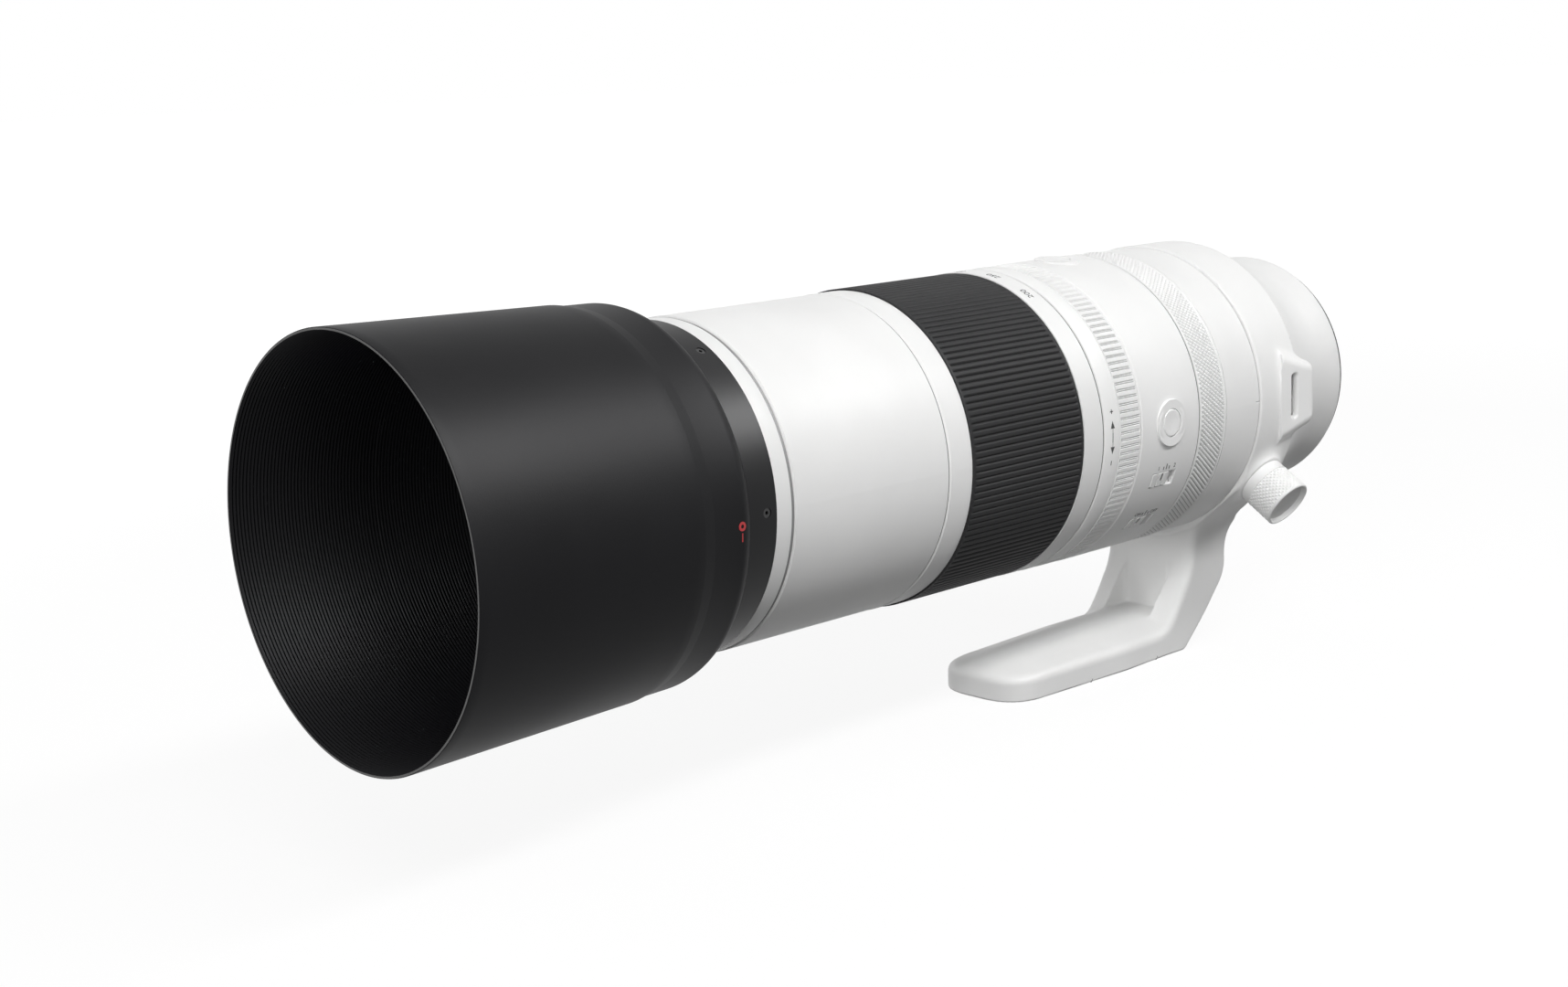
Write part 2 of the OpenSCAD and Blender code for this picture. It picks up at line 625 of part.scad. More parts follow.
module front_ring() color(black) difference() {
    turned([[front_tube_r + running_fit, front_ring_rear_d], [front_ring_r, front_ring_rear_d],
            [front_ring_r, hood_groove_d], [hood_groove_r, hood_groove_d],
            [hood_groove_r, hood_groove_d + hood_groove_width],
            [front_ring_r, hood_groove_d + hood_groove_width],
            [front_ring_r, front_d - chamfer], [front_ring_r - chamfer, front_d],
            [filter_thread_r, front_d], [filter_thread_r, front_d - filter_thread_length],
            [retainer_r + running_fit, front_d - filter_thread_length],
            [retainer_r + running_fit, glass_seat_d + front_glass_edge],
            [front_glass_r + running_fit, glass_seat_d + front_glass_edge],
            [front_glass_r + running_fit, glass_seat_d], [front_glass_r - 1.6, glass_seat_d],
            [front_glass_r - 1.6, front_tube_front_d], [front_tube_r + running_fit, front_tube_front_d]]);
    for (i = [0:set_screws - 1])
        radial_pin(set_screw_r + running_fit, front_tube_r - over, front_ring_r + over,
                   i * 360 / set_screws, set_screw_d);
    for (angle = [90, 210, 330])
        sector(front_ring_r + over, hood_groove_r + 0.1, hood_groove_d + hood_groove_width / 2,
               front_d + over, angle + hood_turn - hood_lug_angle / 2 - 3,
               angle + hood_turn + hood_lug_angle / 2 + 3);
}
module front_set_screws() color(dark_metal)
    for (i = [0:set_screws - 1])
        difference() {
            radial_pin(set_screw_r, front_tube_r - set_screw_depth + 0.1, front_ring_r - 0.25,
                       i * 360 / set_screws, set_screw_d);
            radial_pin(0.6, front_ring_r - 1.4, front_ring_r + over,
                       i * 360 / set_screws, set_screw_d, $fn = 6);
        }
module front_lens() color(glass_tint)
    glass(front_glass_r, glass_seat_d, glass_seat_d + front_glass_edge, -1.5, front_glass_height);
module front_retainer() color(black)
    turned([[front_glass_r - 1.8, glass_seat_d + front_glass_edge + 0.45],
            [front_glass_r + 0.1, glass_seat_d + front_glass_edge],
            [retainer_r, glass_seat_d + front_glass_edge],
            [retainer_r, front_d - filter_thread_length],
            [front_glass_r - 0.4, front_d - filter_thread_length]]);
module second_lens() color(glass_tint)
    glass(front_tube_bore_r - running_fit, second_glass_d, second_glass_d + second_glass_edge, -2, 2.2);

// Lens hood, a turned shell with three bayonet lugs in its neck
module lens_hood() color(black) union() {
    step_rear_d = hood_step_d - hood_step_length;
    step_rear_r = hood_step_r - hood_step_depth;
    shoulder_r = step_rear_r - 0.25;
    turned(concat(
        [[hood_front_r - hood_rim_wall, hood_front_d], [hood_front_r - 0.3, hood_front_d],
         [hood_front_r, hood_front_d - 0.3], [hood_step_r, hood_step_d], [step_rear_r, step_rear_d]],
        arc(shoulder_r - hood_shoulder_r, hood_shoulder_d, hood_shoulder_r, 0, -40, 6),
        [[hood_rear_r + 0.2, hood_rear_d + 0.2], [hood_rear_r, hood_rear_d], [hood_bore_r, hood_rear_d],
         [hood_bore_r, front_d + 0.4], [hood_bore_r + 2, front_d + 0.4],
         [step_rear_r - hood_wall - 0.6, front_d + 4], [step_rear_r - hood_wall, step_rear_d],
         [hood_step_r - hood_wall, hood_step_d], [hood_front_r - hood_rim_wall - 0.5, hood_front_d - 4]]));
    for (angle = [90, 210, 330])
        sector(hood_bore_r + 0.3, hood_groove_r + gap, hood_groove_d + gap,
               hood_groove_d + hood_groove_width - gap, angle - hood_lug_angle / 2,
               angle + hood_lug_angle / 2);
}

// Inner zoom group, with its three followers
module variator_cell() color(dark_metal) union() {
    turned([[variator_glass_r - 3, variator_d], [guide_bore_r - gap, variator_d],
            [guide_bore_r - gap, variator_d + variator_length],
            [variator_glass_r, variator_d + variator_length],
            [variator_glass_r, variator_d + variator_lip],
            [variator_glass_r - 3, variator_d + variator_lip]]);
    for (angle = [30, 150, 270])
        radial_pin(follower_r, variator_glass_r + 1, cam_tube_r - gap, angle, variator_pin_d);
}
module variator_lens() color(glass_tint)
    glass(variator_glass_r - running_fit, variator_d + variator_lip,
          variator_d + variator_lip + variator_glass_t, -4, -3);

// Iris
module iris_housing() color(dark_metal) difference() {
    union() {
        sleeve(guide_bore_r - 0.1, aperture_r, iris_d, iris_d + iris_plate_t);
        sleeve(guide_bore_r - 0.1, guide_bore_r - 1.9, iris_d, iris_ring_d + iris_ring_t + 1.5);
    }
    for (i = [0:blades - 1])
        on_axis() rotate(i * 360 / blades) translate([blade_pivot_r, 0, iris_d - over])
            cylinder(r = blade_pin_r + running_fit, h = iris_plate_t + 2 * over);
}
// One crescent blade on its own level, with its pivot pin and its drive pin
module iris_blade(number) color(dark_metal) {
    level = iris_d + iris_plate_t + number * blade_pitch;
    step = (number - 1) * 360 / blades;
    union() {
        sector(blade_outer_r, aperture_r, level, level + blade_t, step - 2, step + 74);
        sector(blade_tail_r, blade_outer_r - 0.1, level, level + blade_t, step - 2, step + 11);
        on_axis() rotate(step) translate([blade_pivot_r, 0, iris_d + 0.4])
            cylinder(r = blade_pin_r, h = level + blade_t - iris_d - 0.4);
        on_axis() rotate(step + drive_pin_angle) translate([blade_pivot_r, 0, level])
            cylinder(r = drive_pin_r, h = iris_ring_d + iris_ring_t - level);
    }
}
module iris_blade_1() iris_blade(1);
module iris_blade_2() iris_blade(2);
module iris_blade_3() iris_blade(3);
module iris_blade_4() iris_blade(4);
module iris_blade_5() iris_blade(5);
module iris_blade_6() iris_blade(6);
module iris_blade_7() iris_blade(7);
module iris_blade_8() iris_blade(8);
module iris_blade_9() iris_blade(9);
// Drive ring with one sloping cam slot for each blade's pin
module iris_ring() color(metal) difference() {
    arm = 2 * blade_pivot_r * sin(drive_pin_angle / 2);
    start = polar(blade_pivot_r, drive_pin_angle);
    world_end = [blade_pivot_r, 0] + polar(arm, 90 + drive_pin_angle / 2 + blade_turn);
    end = polar(norm(world_end), atan2(world_end[1], world_end[0]) - iris_turn);
    run = end - start;
    slot_r = drive_pin_r + 0.35;
    sleeve(iris_ring_r, iris_ring_bore_r, iris_ring_d, iris_ring_d + iris_ring_t);
    for (i = [0:blades - 1])
        on_axis() rotate(i * 360 / blades) translate([0, 0, iris_ring_d - over]) {
            translate(start) cylinder(r = slot_r, h = iris_ring_t + 2 * over);
            translate(end) cylinder(r = slot_r, h = iris_ring_t + 2 * over);
            translate(start) rotate(atan2(run[1], run[0])) translate([0, -slot_r, 0])
                cube([norm(run), 2 * slot_r, iris_ring_t + 2 * over]);
        }
}

// Image stabiliser: a frame that slides sideways carries a cell that slides up and down
module stabiliser_housing() color(dark_metal)
    turned([[stabiliser_bore_r, stabiliser_d], [barrel_bore_r - 0.1, stabiliser_d],
            [barrel_bore_r - 0.1, stabiliser_d + stabiliser_length],
            [stabiliser_room_r, stabiliser_d + stabiliser_length],
            [stabiliser_room_r, stabiliser_d + stabiliser_plate_t],
            [stabiliser_bore_r, stabiliser_d + stabiliser_plate_t]]);
module stabiliser_frame() color(metal)
    sleeve(stabiliser_frame_r, stabiliser_frame_bore_r, stabiliser_d + stabiliser_plate_t + gap,
           stabiliser_d + stabiliser_plate_t + gap + stabiliser_frame_t);
module stabiliser_cell() color(black)
    turned([[stabiliser_glass_r - 3, stabiliser_d + stabiliser_plate_t + gap],
            [stabiliser_cell_r, stabiliser_d + stabiliser_plate_t + gap],
            [stabiliser_cell_r, stabiliser_d + stabiliser_length - 1],
            [stabiliser_glass_r + running_fit, stabiliser_d + stabiliser_length - 1],
            [stabiliser_glass_r + running_fit, stabiliser_glass_d],
            [stabiliser_glass_r - 3, stabiliser_glass_d]]);
module stabiliser_lens() color(glass_tint)
    glass(stabiliser_glass_r, stabiliser_glass_d, stabiliser_glass_d + stabiliser_glass_t, -2, 2);

// Focus group on two rods
module focus_rods() color(metal)
    for (side = [0, 180])
        on_axis() rotate(side) translate([rod_radius, 0, wall_d + inner_wall_t])
            cylinder(r = rod_r, h = stabiliser_d - wall_d - inner_wall_t);
module focus_motor() color(metal)
    for (side = [70, 250])
        sector(barrel_bore_r - 0.1, motor_bore_r, wall_d + inner_wall_t, stabiliser_d, side, side + 40);
module focus_cell() color(black) difference() {
    union() {
        turned([[focus_glass_r - 4, focus_d], [focus_cell_r, focus_d],
                [focus_cell_r, focus_d + focus_length],
                [focus_glass_r + running_fit, focus_d + focus_length],
                [focus_glass_r + running_fit, focus_d + focus_lip],
                [focus_glass_r - 4, focus_d + focus_lip]]);
        for (side = [0, 180])
            on_axis() rotate(side) translate([rod_radius, 0, focus_d])
                cylinder(r = rod_radius - focus_cell_r + 0.6, h = focus_length);
        for (side = [75, 255])
            sector(motor_bore_r - 0.4, focus_cell_r - 0.2, focus_d + 1, focus_d + focus_length - 1,
                   side, side + 30);
    }
    for (side = [0, 180])
        on_axis() rotate(side) translate([rod_radius, 0, focus_d - over])
            cylinder(r = rod_r + running_fit, h = focus_length + 2 * over);
}
module focus_lens() color(glass_tint)
    glass(focus_glass_r, focus_d + focus_lip, focus_d + focus_lip + focus_glass_edge, -3, 1.5);

// Plate that spans the foot's width, from an outline of points [y, z]
module across(half_width, points)
    rotate([90, 0, 90]) translate([0, 0, -half_width])
        linear_extrude(height = 2 * half_width) polygon(points);
// Thin slab across the neck at a height, between two places along Y
module neck_slab(half_width, y_rear, y_front, z)
    translate([-half_width, y_front, z]) cube([2 * half_width, y_rear - y_front, 0.02]);
// Front part of the foot: bowed tip, bevelled top
module foot_nose() hull() {
    for (side = [-1, 1]) {
        translate([side * (foot_half_width - 7.8), 7.2 - foot_front_d, -foot_z])
            cylinder(r = 7, h = foot_wall_height - 1, $fn = 32);
        translate([side * (foot_core_half_width - 6.5), 17 - foot_front_d, -foot_z])
            cylinder(r = 7, h = foot_height - 2.5, $fn = 32);
    }
    translate([0, 20 - foot_front_d, -foot_z]) cylinder(r = 20, h = foot_wall_height - 1.5, $fn = 64);
    translate([-foot_half_width, foot_joint_y, -foot_z])
        cube([2 * foot_half_width, 0.02, foot_wall_height]);
    translate([-foot_core_half_width, foot_joint_y, -foot_z])
        cube([2 * foot_core_half_width, 0.02, foot_height]);
}
// Neck: a broad rear rib and a narrower web in front of it, both running into the foot
module neck() {
    across(foot_half_width,
           [[foot_joint_y, -foot_z], [-foot_rear_d, -foot_z], [neck_rear_y - 1.6, neck_bend_z],
            [neck_rear_y, neck_bend_z + 4], [neck_rear_y, flare_z], [neck_rib_y, flare_z],
            [neck_rib_y, neck_bend_z + 3], [foot_joint_y + 7, foot_wall_height - foot_z + 2.5],
            [foot_joint_y, foot_wall_height - foot_z]]);
    across(foot_core_half_width,
           [[foot_joint_y, -foot_z], [-foot_rear_d - 2, -foot_z], [neck_rear_y - 3.6, neck_bend_z],
            [neck_rear_y - 3, flare_z], [neck_front_y, flare_z], [neck_front_y, flare_z - 6],
            [neck_front_y - 2.5, flare_z - 10], [foot_joint_y + 3, foot_height - foot_z + 1.5],
            [foot_joint_y, foot_height - foot_z]]);
    hull() {
        neck_slab(foot_half_width, neck_rear_y, neck_rib_y, flare_z - 3);
        neck_slab(foot_half_width + 2, neck_rear_y, neck_rib_y - 1, flare_z + 5);
    }
    hull() {
        neck_slab(foot_half_width + 2, neck_rear_y, neck_rib_y - 1, flare_z + 5);
        neck_slab(foot_half_width + 8, neck_rear_y, neck_rib_y - 2, flare_top_z);
    }
    hull() {
        neck_slab(foot_core_half_width, neck_rib_y, neck_front_y, flare_z - 3);
        neck_slab(foot_core_half_width + 9, neck_rib_y, neck_front_y, flare_top_z);
    }
}
// Triangular pocket in the front of the neck
module neck_pocket() {
    half = foot_core_half_width - 4.5;
    translate([0, neck_front_y - 14, 0]) rotate([-90, 0, 0]) linear_extrude(height = 17)
        polygon([[-half, -flare_z + 17], [half, -flare_z + 17], [0, -flare_z + 2]]);
}
// Strap lug: a tapered plate with a slot, hollow behind so that the strap can pass
module strap_lug(side) rotate([0, 0, side]) mirror([0, side == 0 ? 0 : 1, 0]) intersection() {
    translate([0, 0, -lug_half_height - over]) linear_extrude(height = 2 * (lug_half_height + over))
        polygon([[collar_bore_r + 0.6, -collar_rear_d - 1], [collar_bore_r + 0.6, -lug_front_d - 3.5],
                 [collar_r - 0.4, -lug_front_d - 3.5], [lug_reach - 0.7, -lug_front_d],
                 [lug_reach, -lug_front_d + 1], [lug_reach, -lug_rear_d - 5.4],
                 [lug_reach - 0.9, -lug_rear_d - 1.2], [lug_reach - 2, -lug_rear_d],
                 [lug_reach - 3.5, -lug_rear_d], [lug_reach - 4.5, -collar_rear_d - 1]]);
    translate([collar_bore_r, 0, 0]) rotate([90, 0, 90]) linear_extrude(height = 12)
        polygon([[-lug_front_d - 5, lug_half_height], [-lug_front_d + 1.5, lug_half_height],
                 [-lug_rear_d - 3, 9.4], [-lug_rear_d + over, 8.6], [-lug_rear_d + over, -8.6],
                 [-lug_rear_d - 3, -9.4], [-lug_front_d + 1.5, -lug_half_height],
                 [-lug_front_d - 5, -lug_half_height]]);
}
// Way of the strap through the lug and out behind it
module strap_path() {
    half = strap_slot_length / 2;
    translate([collar_bore_r + 2.4, -strap_slot_d - strap_slot_width / 2, -half])
        cube([12, strap_slot_width, strap_slot_length]);
    translate([collar_bore_r + 2.4, -strap_slot_d - strap_slot_width / 2, -half])
        cube([lug_reach - 2 - collar_bore_r - 2.4, 24, strap_slot_length]);
}
// Cast collar: clamp ring, strap lugs, knob boss, neck and foot in one piece
module tripod_collar() color(white) difference() {
    union() {
        soft_sleeve(collar_r, collar_bore_r, collar_rear_d, collar_front_d);
        foot_nose();
        neck();
        for (side = [0, 180]) strap_lug(side);
        radial_pin(knob_r + 0.2, collar_bore_r + 1, knob_base_r - gap, knob_angle, knob_d);
    }
    disc(collar_bore_r, collar_rear_d - 30, collar_front_d + 30);
    disc(index_barrel_r + gap + 0.05, collar_front_d, collar_front_d + 40);
    disc(collar_r - 0.6, collar_rear_d - 30, collar_rear_d);
    neck_pocket();
    for (side = [0, 180]) rotate([0, 0, side]) mirror([0, side == 0 ? 0 : 1, 0]) strap_path();
    radial_pin(lock_screw_r + running_fit, collar_bore_r - over, knob_base_r + over,
               knob_angle, knob_d);
    translate([-foot_half_width - over, -pad_rear_d - foot_pad_length, -foot_z - over])
        cube([2 * foot_half_width + 2 * over, foot_pad_length, foot_pad_t + over]);
    for (y = [small_thread_y, large_thread_y])
        translate([0, y, -foot_z - over])
            cylinder(r = bush_r, h = tripod_thread_depth + 1.5 + over);
}
module collar_liner() color(black) difference() {
    sleeve(collar_bore_r, collar_seat_r + running_fit, collar_rear_d + 0.5, collar_front_d - 0.5);
    radial_pin(lock_screw_r + running_fit, collar_seat_r + 0.45, collar_bore_r + over, knob_angle, knob_d);
}
// Threaded steel bushes cast into the foot
module tripod_bushes() color(metal) {
    tripod_bush(small_thread_y, small_thread_r);
    tripod_bush(large_thread_y, large_thread_r);
}
module tripod_bush(y, thread_r) translate([0, y, -foot_z]) difference() {
    cylinder(r = bush_r, h = tripod_thread_depth + 1.5);
    translate([0, 0, -over]) cylinder(r = thread_r, h = tripod_thread_depth + over);
}
module foot_pad() color(black) difference() {
    translate([-foot_half_width, -pad_rear_d - foot_pad_length, -foot_z])
        cube([2 * foot_half_width, foot_pad_length, foot_pad_t]);
    for (y = [small_thread_y, large_thread_y])
        translate([0, y, -foot_z - over]) cylinder(r = bush_r + running_fit, h = foot_pad_t + 2 * over);
}
module lock_knob() color(white) outwards(knob_angle, knob_d)
    translate([knob_base_r, 0, 0]) rotate([0, 90, 0]) rotate_extrude()
        polygon([[0, 0], [knob_r - chamfer, 0], [knob_r, chamfer], [knob_r, knob_length - 0.6],
                 [knob_r - 0.6, knob_length], [knob_r - 1.4, knob_length],
                 [knob_r - 1.8, knob_length - 0.5], [0, knob_length - 0.5]]);
module lock_screw() color(metal)
    radial_pin(lock_screw_r, collar_seat_r + 0.5, knob_base_r, knob_angle, knob_d);

mount_ring();
mount_screws();
mount_skirt();
contact_block();
contact_pins();
circuit_board();
rear_barrel();
rear_lens_cell();
rear_lens();
index_barrel();
function_barrel();
fixed_tube();
main_barrel();
guide_tube();
iris_housing();
stabiliser_housing();
focus_rods();
focus_motor();
zoom_ring();
zoom_grip();
zoom_keys();
cam_tube();
front_tube();
front_band();
front_ring();
front_set_screws();
front_lens();
front_retainer();
second_lens();
front_followers();
variator_cell();
variator_lens();
iris_ring();
iris_blade_1();
iris_blade_2();
iris_blade_3();
iris_blade_4();
iris_blade_5();
iris_blade_6();
iris_blade_7();
iris_blade_8();
iris_blade_9();
stabiliser_frame();
stabiliser_cell();
stabiliser_lens();
focus_cell();
focus_lens();
tension_ring();
control_ring();
tripod_collar();
collar_liner();
tripod_bushes();
foot_pad();
lock_knob();
lock_screw();
side_button();
top_button();
focus_switch();
stabiliser_switch();
lens_hood();
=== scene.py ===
"""The looks of the telephoto zoom lens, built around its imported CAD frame.

Lengths are in millimetres until a mesh is made. A distance is measured forwards from the camera
flange along the optical axis, so y is minus the distance. Angles are above +X towards +Z.
"""

import json
import logging
import math
from dataclasses import dataclass, field
from enum import Enum
from typing import Callable

import bmesh
import bpy
import numpy as np
from mathutils import Matrix, Vector


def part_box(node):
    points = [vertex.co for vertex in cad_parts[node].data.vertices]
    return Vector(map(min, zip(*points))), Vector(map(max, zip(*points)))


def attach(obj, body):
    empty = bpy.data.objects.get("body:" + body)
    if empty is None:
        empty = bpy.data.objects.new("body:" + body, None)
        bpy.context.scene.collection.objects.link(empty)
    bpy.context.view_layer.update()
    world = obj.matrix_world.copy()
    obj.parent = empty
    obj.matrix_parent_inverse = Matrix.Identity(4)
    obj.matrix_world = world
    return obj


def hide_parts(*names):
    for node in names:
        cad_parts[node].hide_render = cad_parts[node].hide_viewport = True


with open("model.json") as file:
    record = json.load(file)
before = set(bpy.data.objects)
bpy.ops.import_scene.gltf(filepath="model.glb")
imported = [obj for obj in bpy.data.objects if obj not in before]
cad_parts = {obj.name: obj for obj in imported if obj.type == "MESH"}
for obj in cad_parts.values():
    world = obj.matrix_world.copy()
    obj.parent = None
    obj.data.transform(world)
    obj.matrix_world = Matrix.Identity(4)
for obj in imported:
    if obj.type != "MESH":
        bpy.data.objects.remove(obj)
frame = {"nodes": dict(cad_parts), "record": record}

logging.basicConfig(level=logging.INFO, format="%(message)s")
LOG = logging.getLogger("lens")
MM = 0.001
Array = np.ndarray
Relief = Callable[[Array, Array, Array], Array]
Field = Callable[[Array], Array]
Place = Callable[["Shape"], "Shape"]
Point = tuple[float, float]
Point3 = tuple[float, float, float]
Colour = tuple[float, float, float]
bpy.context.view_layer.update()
MARK_LOW, MARK_HIGH = -0.05, 0.03
INNER_SHARE = 0.02
SLOW_SCALE, SLOW_DETAIL = 22.0, 3.0
COAT_ROUGHNESS = 0.12
WHITE = (1.0, 1.0, 1.0, 1.0)


# Meshes


@dataclass
class Shape:
    """Points in millimetres and four-sided faces.

    Attributes:
        points: one row of x, y, z for each point.
        faces: one row of four point numbers for each face.
    """

    points: Array
    faces: Array

    def joined(self, *others: "Shape") -> "Shape":
        """Put other shapes beside this one.

        Args:
            others: the shapes to add.

        Returns:
            One shape that holds them all.
        """
        points, faces, start = [self.points], [self.faces], len(self.points)
        for other in others:
            points.append(other.points)
            faces.append(other.faces + start)
            start += len(other.points)
        return Shape(np.concatenate(points), np.concatenate(faces))

    def moved(self, x: float, y: float, z: float) -> "Shape":
        """Shift the shape by x, y and z."""
        return Shape(self.points + np.array([x, y, z]), self.faces)

    def mirrored(self) -> "Shape":
        """Mirror the shape to the other side of the lens.

        Returns:
            The shape with x reversed and its faces turned back outwards.
        """
        return Shape(self.points * np.array([-1.0, 1.0, 1.0]), self.faces[:, ::-1])

    def placed(self, angle: float, distance: float) -> "Shape":
        """Stand a local shape on the barrel.

        Local x runs rearwards, local y round the barrel and local z outwards from the axis.

        Args:
            angle: where it stands, in degrees above +X.
            distance: where it stands along the axis.

        Returns:
            The shape in the lens's frame.
        """
        a = math.radians(angle)
        outward = np.array([math.cos(a), 0.0, math.sin(a)])
        round_way = np.array([-math.sin(a), 0.0, math.cos(a)])
        x, y, z = self.points.T
        points = (
            x[:, None] * np.array([0.0, 1.0, 0.0])
            + y[:, None] * round_way
            + z[:, None] * outward
            - np.array([0.0, distance, 0.0])
        )
        return Shape(points, self.faces)


def grid_faces(rows: int, columns: int, wrap_rows: bool, wrap_columns: bool) -> Array:
    """Number the faces of a grid of points.

    Args:
        rows: points along the first way.
        columns: points along the second way.
        wrap_rows: True where the last row joins the first.
        wrap_columns: True where the last column joins the first.

    Returns:
        One row of four point numbers for each face.
    """
    i = np.arange(rows if wrap_rows else rows - 1)
    j = np.arange(columns if wrap_columns else columns - 1)
    i0, j0 = (g.ravel() for g in np.meshgrid(i, j, indexing="ij"))
    i1, j1 = (i0 + 1) % rows, (j0 + 1) % columns
    return np.stack(
        [i0 * columns + j0, i1 * columns + j0, i1 * columns + j1, i0 * columns + j1], 1
    )


def box_corners(left: float, right: float, low: float, high: float) -> list[Point]:
    """Corners of a rectangle between two places along each way, counter-clockwise."""
    return [(left, low), (right, low), (right, high), (left, high)]


def rounded(points: list[Point], radius: float | list[float], steps: int = 4) -> Array:
    """Round the corners of a closed outline with parabolic arcs.

    Args:
        points: the outline's corners.
        radius: one rounding for all the corners, or one for each.
        steps: pieces of each arc.

    Returns:
        The rounded outline, one row for each point.
    """
    corners = np.asarray(points, float)
    radii = np.broadcast_to(np.asarray(radius, float), len(corners))
    out = []
    for i, corner in enumerate(corners):
        before, after = corners[i - 1] - corner, corners[(i + 1) % len(corners)] - corner
        reach = min(radii[i], 0.48 * np.linalg.norm(before), 0.48 * np.linalg.norm(after))
        if reach <= 0:
            out.append(corner[None])
            continue
        a = corner + before / np.linalg.norm(before) * reach
        b = corner + after / np.linalg.norm(after) * reach
        t = np.linspace(0, 1, steps + 1)[:, None]
        out.append((1 - t) ** 2 * a + 2 * t * (1 - t) * corner + t**2 * b)
    return np.concatenate(out)


def refined(outline: Array, longest: float) -> Array:
    """Cut the long edges of a closed outline into shorter ones.

    Args:
        outline: the outline's points.
        longest: the longest edge that may stay.

    Returns:
        The outline with the added points.
    """
    out = []
    for a, b in zip(outline, np.roll(outline, -1, 0)):
        pieces = max(1, math.ceil(float(np.linalg.norm(b - a)) / longest))
        t = np.arange(pieces)[:, None] / pieces
        out.append(a + (b - a) * t)
    return np.concatenate(out)


def counter_clockwise(outline: Array) -> Array:
    """Turn an outline so that it runs counter-clockwise.

    Args:
        outline: the outline's points.

    Returns:
        The same outline, reversed where its area was negative.
    """
    x, y = outline.T
    area = np.sum(x * np.roll(y, -1) - np.roll(x, -1) * y)
    return outline if area > 0 else outline[::-1]


def turned(
    outline: Array | list[Point], count: int = 240, relief: Relief | None = None
) -> Shape:
    """Turn a closed outline round the optical axis.

    A point at radius r and angle a lies at x = r cos a, z = r sin a. The relief is added to r.

    Args:
        outline: points of radius and distance.
        count: points round the axis.
        relief: height added to the radius, from angle, distance and radius.

    Returns:
        A closed ring.
    """
    section = counter_clockwise(np.asarray(outline, float))
    angle = np.linspace(0, 2 * np.pi, count, endpoint=False)
    a = np.repeat(angle[:, None], len(section), 1)
    r = np.repeat(section[None, :, 0], count, 0)
    d = np.repeat(section[None, :, 1], count, 0)
    if relief is not None:
        r = r + relief(np.degrees(a), d, r)
    points = np.stack([r * np.cos(a), -d, r * np.sin(a)], -1).reshape(-1, 3)
    return Shape(points, grid_faces(count, len(section), True, True))


def local_turned(outline: Array | list[Point], count: int = 96, relief: Relief | None = None) -> Shape:
    """Turn a closed outline round local z, for a knob or a button.

    Args:
        outline: points of radius and height.
        count: points round the axis.
        relief: height added to the radius, from angle, height and radius.

    Returns:
        A closed ring round local z.
    """
    shape = turned(outline, count, relief)
    x, y, z = shape.points.T
    return Shape(np.stack([x, z, -y], 1), shape.faces)


def wrapped(shape: Shape, radius: float, angle: float, distance: float) -> Shape:
    """Lay a flat shape on the barrel.

    Local x runs forwards, local y round the barrel and local z is the height over the radius:
    the angle grows by y / radius.

    Args:
        shape: the flat shape.
        radius: the barrel's radius.
        angle: the angle of its origin, in degrees.
        distance: the distance of its origin.

    Returns:
        The shape on the barrel.
    """
    x, y, z = shape.points.T
    a = math.radians(angle) + y / radius
    r = radius + z
    return Shape(np.stack([r * np.cos(a), -(distance + x), r * np.sin(a)], 1), shape.faces)


def plate(inner: Array, outer: Array, low: float, high: float) -> Shape:
    """Close a flat plate between two loops that have a point for each other.

    Args:
        inner: the inner loop's x and y.
        outer: the outer loop's x and y.
        low: height of its underside.
        high: height of its top.

    Returns:
        The closed plate.
    """
    loops = [np.column_stack([flat, np.full(len(flat), z)])
             for flat, z in ((inner, low), (outer, low), (outer, high), (inner, high))]
    return Shape(np.stack(loops, 1).reshape(-1, 3), grid_faces(len(inner), 4, True, True))


def slab(outline: Array, low: float, high: float) -> Shape:
    """Fill a star-shaped outline and give it a thickness.

    Args:
        outline: points of the outline.
        low: height of its underside.
        high: height of its top.

    Returns:
        A closed slab whose top is a fan of narrow faces about the middle.
    """
    ring = counter_clockwise(np.asarray(outline, float))
    middle = ring.mean(0)
    return plate(middle + (ring - middle) * INNER_SHARE, ring, low, high)


def rectangle(length: float, width: float, radius: float = 0.0) -> Array:
    """Outline of a rectangle about its middle.

    Args:
        length: size along x.
        width: size along y.
        radius: rounding of its corners.

    Returns:
        The outline's points.
    """
    x, y = length / 2, width / 2
    return rounded(box_corners(-x, x, -y, y), radius)


def shell_object(name: str, shape: Shape, sharp: float = 40.0) -> bpy.types.Object:
    """Make a smooth-shaded object in metres from a shape.

    Args:
        name: the object's name.
        shape: its points and faces.
        sharp: edges that bend by more than this angle stay sharp.

    Returns:
        The new object, linked to the scene.
    """
    mesh = bpy.data.meshes.new(name)
    mesh.vertices.add(len(shape.points))
    mesh.vertices.foreach_set("co", (shape.points * MM).astype(np.float32).ravel())
    mesh.loops.add(shape.faces.size)
    mesh.loops.foreach_set("vertex_index", shape.faces.astype(np.int32).ravel())
    mesh.polygons.add(len(shape.faces))
    mesh.polygons.foreach_set("loop_start", np.arange(len(shape.faces), dtype=np.int32) * 4)
    mesh.update(calc_edges=True)
    mesh.validate()
    mesh.shade_smooth()
    mesh.set_sharp_from_angle(angle=math.radians(sharp))
    obj = bpy.data.objects.new(name, mesh)
    bpy.context.scene.collection.objects.link(obj)
    return obj


# Fields: a surface lies where a field of distances is zero


